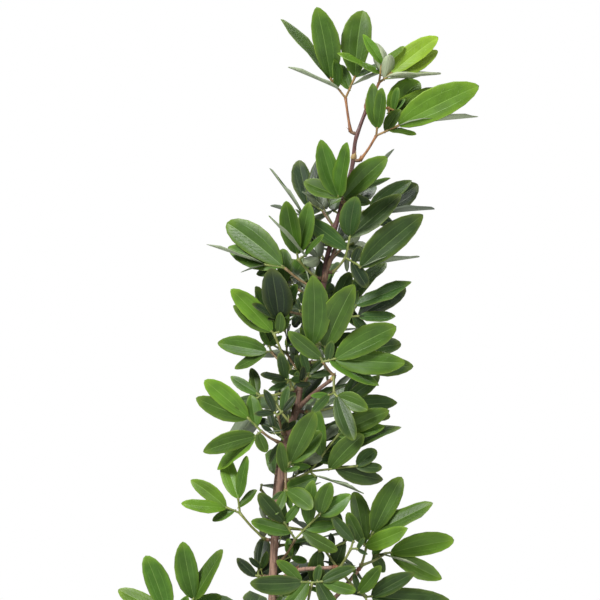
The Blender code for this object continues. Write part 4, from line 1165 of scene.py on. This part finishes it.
def pot_look():
    """Matte black nursery plastic: fine grain, dust low down and a rubbed rim."""
    look = Look("moulded_plastic", 0.5, Specular_IOR_Level=0.4)
    spot = look.place()
    height = look.part(spot, 2)
    cloud = look.noise(spot, 14, 4).spread(0.3, 0.7)
    colour = look.blend(cloud, (0.018, 0.019, 0.019), (0.032, 0.033, 0.032))
    dust = height.spread(0.07, 0.0) * look.noise(spot, 45, 5, 0.7).spread(0.42, 0.72)
    colour = look.blend(dust * 0.5, colour, (0.14, 0.115, 0.085))
    worn = height.spread(0.2215, 0.2245) * look.noise(spot, 120).spread(0.4, 0.65)
    colour = look.blend(worn * 0.35, colour, (0.11, 0.11, 0.105))
    scuff = look.noise(look.stretched(2), 55, 4)
    look.wear(Base_Color=colour, Roughness=scuff.spread(0.35, 0.65, 0.46, 0.58))
    look.bump(look.noise(spot, 1400, 2), 0.00012, 0.6)
    return look.item


def earth_look(name, light, dark, scale):
    """Loose organic matter."""
    look = Look(name, 0.94)
    grain = look.noise(look.place(), scale, 5, 0.7)
    look.wear(Base_Color=look.blend(grain.spread(0.36, 0.66), dark, light))
    look.bump(grain, 0.0012, 0.9)
    return look.item


def bark_piece(limb, sides, swellings, look):
    """A limb's bark, with ridges and a swelling at each node."""
    line = smooth_line([limb.root, *limb.line[1:]])
    gone = lengths(line)
    radii = [along_line(limb.line, limb.radii, length / gone[-1])[1] for length in gone]
    steps = max(12, round(gone[-1] / BARK_RING))
    centres, turns, widths = rings_along(line, radii, [step / steps for step in range(steps + 1)])
    form = tube_form(sides, steps + 1)
    for corner in form.verts:
        ring = round(corner.co.z * steps)
        around = Vector((corner.co.x, corner.co.y, 0))
        spot = centres[ring] + turns[ring] @ around * widths[ring]
        ridge = noise.noise(Vector((around.x * 2.6, around.y * 2.6, spot.z * 55)))
        ridge += 0.5 * noise.noise(Vector((around.x * 7, around.y * 7, spot.z * 160)))
        swollen = [
            rise * math.exp(-(((spot - centre).length / reach) ** 2)) for centre, (reach, rise) in swellings
        ]
        grow = 1 + 0.075 * ridge + max(swollen, default=0)
        corner.co = centres[ring] + turns[ring] @ around * widths[ring] * grow
    bmesh.ops.recalc_face_normals(form, faces=form.faces[:])
    new_piece(finished(form, limb.name + "_with_bark"), [look], [limb.name])


def turned_form(profile, steps):
    """A solid of revolution of a profile of radii and heights."""
    form = bmesh.new()
    corners = [form.verts.new((radius, 0, height)) for radius, height in profile]
    edges = [form.edges.new(pair) for pair in zip(corners, corners[1:])]
    around = {"cent": (0, 0, 0), "axis": (0, 0, 1), "angle": math.tau, "use_merge": True}
    bmesh.ops.spin(form, geom=corners + edges, steps=steps, **around)
    bmesh.ops.remove_doubles(form, verts=form.verts[:], dist=1e-6)
    bmesh.ops.recalc_face_normals(form, faces=form.faces[:])
    return form


def outer_radius(height):
    """The pot's outer radius at a height, below its rim."""
    return POT_FOOT_RADIUS + (POT_MOUTH_RADIUS - POT_FOOT_RADIUS) * height / POT_HEIGHT


def make_pot():
    """The pot: a thin shell with a turned-out rim, a moulded foot ring and drain holes."""
    rim_foot = POT_HEIGHT - RIM_HEIGHT
    form = turned_form([
        (0, POT_FLOOR),
        (outer_radius(POT_FLOOR) - POT_WALL - 4 * MM, POT_FLOOR),
        (outer_radius(POT_FLOOR + 4 * MM) - POT_WALL, POT_FLOOR + 4 * MM),
        (POT_MOUTH_RADIUS - POT_WALL, POT_HEIGHT - 1 * MM),
        (POT_MOUTH_RADIUS - POT_WALL + 1 * MM, POT_HEIGHT),
        (POT_MOUTH_RADIUS + RIM_PROUD - 1.5 * MM, POT_HEIGHT),
        (POT_MOUTH_RADIUS + RIM_PROUD, POT_HEIGHT - 1.5 * MM),
        (outer_radius(rim_foot) + RIM_PROUD, rim_foot + 1.5 * MM),
        (outer_radius(rim_foot) + RIM_PROUD - 1.5 * MM, rim_foot),
        (outer_radius(rim_foot) + 1 * MM, rim_foot),
        (outer_radius(rim_foot - 3 * MM), rim_foot - 3 * MM),
        (outer_radius(24 * MM), 24 * MM),
        (outer_radius(22.5 * MM) - 0.7 * MM, 22.5 * MM),
        (outer_radius(2.5 * MM) - 0.7 * MM, 2.5 * MM),
        (POT_FOOT_RADIUS - 3 * MM, 0),
        (POT_FOOT_RADIUS - 12 * MM, 0),
        (POT_FOOT_RADIUS - 14 * MM, 1.6 * MM),
        (0, 1.6 * MM),
    ], POT_SIDES)
    sharp = [edge for edge in form.edges if len(edge.link_faces) == 2 and edge.calc_face_angle() > 0.5]
    rounding = {"segments": 3, "profile": 0.5, "affect": "EDGES", "material": -1}
    bmesh.ops.bevel(form, geom=sharp, offset=POT_BEVEL, **rounding)
    item = new_piece(finished(form, "pot_shell"), [pot_look()], ["pot"])
    form = bmesh.new()
    drill_size = {"segments": 28, "radius1": DRAIN_RADIUS, "radius2": DRAIN_RADIUS, "depth": POT_FLOOR * 3}
    for hole in range(DRAIN_HOLES):
        angle = math.tau * (hole + 0.5) / DRAIN_HOLES
        spot = (DRAIN_CIRCLE * math.cos(angle), DRAIN_CIRCLE * math.sin(angle), POT_FLOOR / 2)
        bmesh.ops.create_cone(form, cap_ends=True, matrix=Matrix.Translation(spot), **drill_size)
    drill = put("drain", finished(form, "drain", smooth=False))
    cut = item.modifiers.new("drain", "BOOLEAN")
    cut.operation = "DIFFERENCE"
    cut.solver = "EXACT"
    cut.object = drill
    item.data = bpy.data.meshes.new_from_object(item.evaluated_get(bpy.context.evaluated_depsgraph_get()))
    item.modifiers.clear()
    bpy.data.objects.remove(drill)
    item.modifiers.new("corners", "WEIGHTED_NORMAL").keep_sharp = True


def soil_rise(flat):
    """How far the mix's top stands over or under its level."""
    reach = flat.length / MM
    lumps = 1.1 * noise.noise(flat * 90) + 0.7 * noise.noise(flat * 260) + 0.35 * noise.noise(flat * 700)
    edge = -1.6 * max(0, (reach - 84) / 22) ** 2
    return (lumps + edge + 0.9 * math.exp(-((reach / 22) ** 2))) * MM


def make_soil():
    """The potting mix: a crumbly top, with bark chips and pale grit lying on it."""
    low = POT_FLOOR + GAP
    foot = outer_radius(low) - POT_WALL - GAP * 1.3 - 5 * MM
    top = outer_radius(SOIL_TOP) - POT_WALL - GAP * 1.3
    rings = [(top * share, SOIL_TOP) for share in np.linspace(0, 1, SOIL_RINGS)]
    form = turned_form([*rings, (foot, low), (0, low)], SOIL_SIDES)
    for corner in form.verts:
        if corner.co.z > SOIL_TOP - 1 * MM:
            corner.co.z += soil_rise(Vector((corner.co.x, corner.co.y, 0)))
    peat = earth_look("peat", (0.060, 0.036, 0.021), (0.017, 0.010, 0.006), 260)
    new_piece(finished(form, "mix_bed"), [peat], ["soil"])
    rng = random.Random("crumbs")
    lump = Pattern(crumb_form())
    for name, (count, (small, large), light, dark) in LOOSE.items():
        places = []
        for _ in range(count):
            reach = (top - 3 * MM) * math.sqrt(rng.random())
            angle = rng.uniform(0, math.tau)
            flat = Vector((reach * math.cos(angle), reach * math.sin(angle), 0))
            if (flat - Vector((-1 * MM, 0, 0))).length < 8 * MM:
                continue
            size = rng.uniform(small, large) * MM * 0.5
            spot = flat + UP * (SOIL_TOP + soil_rise(flat) + size * 0.1)
            way = (UP + Vector((rng.uniform(-0.5, 0.5), rng.uniform(-0.5, 0.5), 0))).normalized()
            long = size * (rng.uniform(0.3, 0.55) if "chips" in name else rng.uniform(0.6, 0.9))
            sides = np.diag((size, size * rng.uniform(0.55, 1.0), long))
            turn = (UP.rotation_difference(way) @ Quaternion(UP, rng.uniform(0, math.tau))).to_matrix()
            places.append(lump.co @ sides @ np.array(turn).T + np.array(spot))
        mesh = lump.join(name, places, flat=True)
        new_piece(mesh, [earth_look(name + "_look", light, dark, 500)], ["soil"])


def tint_of(growth, blade, rng):
    """The green of a blade: its spray's, a step younger or older, and darker for small blades and for the
    masses behind: older leaves there, and painted shade deep inside the crown.
    """
    if growth.seen:
        base = SEEN[growth.key][2 + blade.leaf][0]
    else:
        # masses behind the trunk take darker greens, partly older leaves and partly painted shade; those high
        # up are lighter
        base = 2.3 + 0.8 * rng.random() - 0.9 * max(0, (blade.root.z - 0.62) / 0.2)
    base += rng.gauss(0, 0.34)
    # small blades a step darker: painted shade inside the crown
    if blade.length < SHORT_LEAFLET:
        base += 0.35
    tints = list(GREENS)
    return tints[min(max(round(base), 0), len(tints) - 1)]


def tipped(growth, blade):
    """A blade of a seen mass, turned where the photo shows its pale under face."""
    if not growth.seen:
        return blade
    square = (FRONT - FRONT.project(blade.way)).normalized()
    shown = blade.normal.dot(square)
    times = 2 if blade.small and growth.key in PALE_SMALL else EDGE_TIP if 0 < shown < EDGE_ON else 0
    if not times:
        return blade
    return blade._replace(normal=(blade.normal - square * times * shown).normalized())


def dress_leaves(growths):
    """The leaflets of all masses, joined by their green."""
    pattern = Pattern(leaflet_form(), leaflet_slot)
    groups = {tint: ([], [], set()) for tint in GREENS}
    for growth in growths:
        rng = random.Random(growth.name + " leaflets")
        for grown in growth.blades:
            blade = tipped(growth, grown)
            places, tones, names = groups[tint_of(growth, blade, rng)]
            places.append(leaflet_corners(pattern, blade, rng))
            tones.append(min(1, max(0, rng.gauss(0.5, 0.22))))
            names.add(growth.name)
    for tint, (places, tones, names) in groups.items():
        mesh = pattern.join("leaves_" + tint, places, tones)
        new_piece(mesh, leaflet_looks(tint), names)


def near_twig(spot, twig):
    """Whether a spot lies on the straight twig or near it."""
    foot, tip = twig.line[0], twig.line[-1]
    closest, part = intersect_point_line(spot, foot, tip)
    size = (tip - foot).length
    return (spot - closest).length < 3 * MM and (part - 0.5) * size < size / 2 + 3 * MM


def stalk_kind(twig, rng):
    """The piece that a twig belongs to: redder towards the top of the plant, greener below."""
    high = twig.line[0].z
    if twig.kind == "stem":
        return "stems"
    if twig.kind != "stalk":
        return "ribs_red" if twig.kind == "rib" and high > RED_RIBS else "ribs_green"
    if high > RED_STALKS:
        return "stalks_red"
    if high > BROWN_STALKS:
        return rng.choice(("stalks_brown", "stalks_green"))
    return "stalks_green" if rng.random() < 0.7 else "stalks_brown"


def dress_stalks(limbs, growths):
    """Stems, stalks, ribs and their joints, joined by kind, and buds at the nodes."""
    tube = Pattern(tube_form(STALK_SIDES, STALK_RINGS))
    scale = Pattern(scale_form())
    looks = {kind: stalk_look(*row) for kind, row in STALK_LOOKS.items()}
    groups = {kind: ([], set()) for kind in list(STALK_LOOKS)[:6]}
    rust, pale, joints = [], [], []
    for growth in growths:
        rng = random.Random(growth.name + " stalks")
        for twig in growth.twigs:
            if twig.kind == "rib" and not any(near_twig(blade.root, twig) for blade in growth.blades):
                continue
            line, radii = twig.line, twig.radii
            if len(line) > 2:
                line = smooth_line(line)
                shares = [step / (len(line) - 1) for step in range(len(line))]
                radii = [along_line(twig.line, twig.radii, share)[1] for share in shares]
            if twig.kind == "stem":
                line = [line[0] - (line[1] - line[0]).normalized() * 1.5 * MM, *line]
                radii = [radii[0] * 1.25, *radii]
                node, way = line[-1], (twig.line[-1] - twig.line[-2]).normalized()
                for _ in range(rng.choice((2, 3, 3))):
                    lean = Vector((rng.uniform(-1, 1), rng.uniform(-1, 1), rng.uniform(-0.2, 1))).normalized()
                    size = rng.uniform(1.5, 2.4) * MM, rng.uniform(2.6, 5.0) * MM
                    rust.append(set_at(scale, node - way * 0.6 * MM, (way + lean * 0.9).normalized(), *size))
            places, names = groups[stalk_kind(twig, rng)]
            places.append(tube_corners(tube, line, radii, twig.kind))
            names.add(growth.name)
        for blade in growth.blades:
            wide = (0.5 if blade.length <= SHORT_LEAFLET else 0.62) * MM
            foot = blade.root + blade.way * BLADE_ROOT * 0.2
            joints.append(set_at(scale, foot, blade.way, wide * 2.6, wide * 5.2))
    for limb, height, bearing, long, wide, colour in BUDS:
        limb = limbs[limb]
        centre, _, along = limb.at(height) if height else (limb.line[-1], 0, limb.ways[-1])
        way = (heading(bearing, BUD_LEAN) + along).normalized()
        for number, share in enumerate(BUD_SCALES):
            lean = Quaternion(along, number * 2.4) @ along.orthogonal().normalized()
            new_way = (way + lean * 0.07 * number).normalized()
            place = set_at(scale, centre + along * 0.4 * MM, new_way, wide * MM, long * share * MM)
            (pale if colour == "pale" else rust).append(place)
    foot, tip = (limbs["trunk"].at(height)[0] for height in SPUR)
    middle = foot.lerp(tip, 0.5) + Vector((1.6, -3, 0)) * MM
    spur = smooth_line([foot + FRONT * 1.5 * MM, middle, tip + Vector((5, -3.5, 0)) * MM], 4)
    widths = [1.7 * MM - 0.5 * MM * step / (len(spur) - 1) for step in range(len(spur))]

    for kind, (places, names) in groups.items():
        new_piece(tube.join(kind, places), [looks[kind]], names)
    masses = [growth.name for growth in growths]
    new_piece(scale.join("leaf_joints", joints), [looks["leaf_joints"]], masses)
    new_piece(scale.join("buds_pale", pale), [looks["buds_pale"]], ["trunk"])
    dry = tube.join("dry_spur", [tube_corners(tube, spur, widths, "spur")])
    new_piece(dry, [looks["stems"]], ["trunk"])
    new_piece(scale.join("bud_scales", rust), [looks["bud_scales"]], masses)


def dress_limbs(limbs, growths):
    """Bark on the trunk and boughs."""
    look = bark_look()
    stems = [twig.line[0] for growth in growths for twig in growth.twigs if twig.kind == "stem"]
    for name, limb in limbs.items():
        near = [spot for spot in stems if min((spot - point).length for point in limb.line) < 22 * MM]
        swellings = [(spot, STEM_SWELLING) for spot in near]
        if name == "trunk":
            swellings += [(other.root, BOUGH_SWELLING) for key, other in limbs.items() if key != "trunk"]
        bark_piece(limb, BARK_SIDES[name.split("_")[0]], swellings, look)


def set_stage():
    """A pale floor that glows white towards its rim, painted light that fades it into the backdrop, soft
    studio light and the camera.
    """
    scene = bpy.context.scene
    form = bmesh.new()
    bmesh.ops.create_circle(form, cap_ends=True, segments=96, radius=FLOOR_RADIUS)
    bmesh.ops.translate(form, verts=form.verts[:], vec=(0, 0, -FLOOR_SUNK))
    floor = put("floor", finished(form, "floor", smooth=False))
    paper = Look("paper", 0.9, Emission_Color=(1, 1, 1, 1))
    spot = paper.place()
    reach = paper.add("ShaderNodeVectorMath", ((0, spot),), "Value", operation="LENGTH")
    # painted light: towards its rim the floor's colour goes black and it glows white, fading into the white
    # backdrop
    rim = reach.spread(0.75, 1.55)
    tone = paper.blend(paper.noise(spot, 3), (0.86, 0.86, 0.86), (0.88, 0.88, 0.88))
    paper.wear(Base_Color=paper.blend(rim, tone, (0, 0, 0)), Emission_Strength=rim)
    floor.data.materials.append(paper.item)

    scene.world = bpy.data.worlds.new("studio")
    scene.world.use_nodes = True
    nodes, links = scene.world.node_tree.nodes, scene.world.node_tree.links
    nodes.clear()
    out = nodes.new("ShaderNodeOutputWorld")
    mix = nodes.new("ShaderNodeMixShader")
    seen = nodes.new("ShaderNodeLightPath")
    links.new(seen.outputs["Is Camera Ray"], mix.inputs[0])
    for socket, strength in ((1, STUDIO_GLOW), (2, 1.0)):
        sky = nodes.new("ShaderNodeBackground")
        sky.inputs[0].default_value = (1, 1, 1, 1)
        sky.inputs[1].default_value = strength
        links.new(sky.outputs[0], mix.inputs[socket])
    links.new(mix.outputs[0], out.inputs[0])

    for name, (spot, size, power) in LAMPS.items():
        lamp = bpy.data.lights.new(name, "AREA")
        lamp.size = size
        lamp.energy = power
        item = put(name, lamp)
        item.location = spot
        item.rotation_euler = (LAMPS_AIM - Vector(spot)).to_track_quat("-Z", "Y").to_euler()

    camera = put("camera", bpy.data.cameras.new("camera"))
    camera.location = (VIEW_CENTRE[0], -VIEW_DISTANCE, VIEW_CENTRE[2])
    camera.rotation_euler = (math.pi / 2, 0, 0)
    camera.data.sensor_width = SENSOR
    camera.data.lens = SENSOR * VIEW_DISTANCE / VIEW_WIDTH
    camera.data.clip_end = 50
    scene.camera = camera
    scene.view_settings.view_transform = "Standard"


limbs, growths = grow_plant()
dress_limbs(limbs, growths)
dress_stalks(limbs, growths)
dress_leaves(growths)
make_pot()
make_soil()
set_stage()
print("blades", sum(len(growth.blades) for growth in growths))
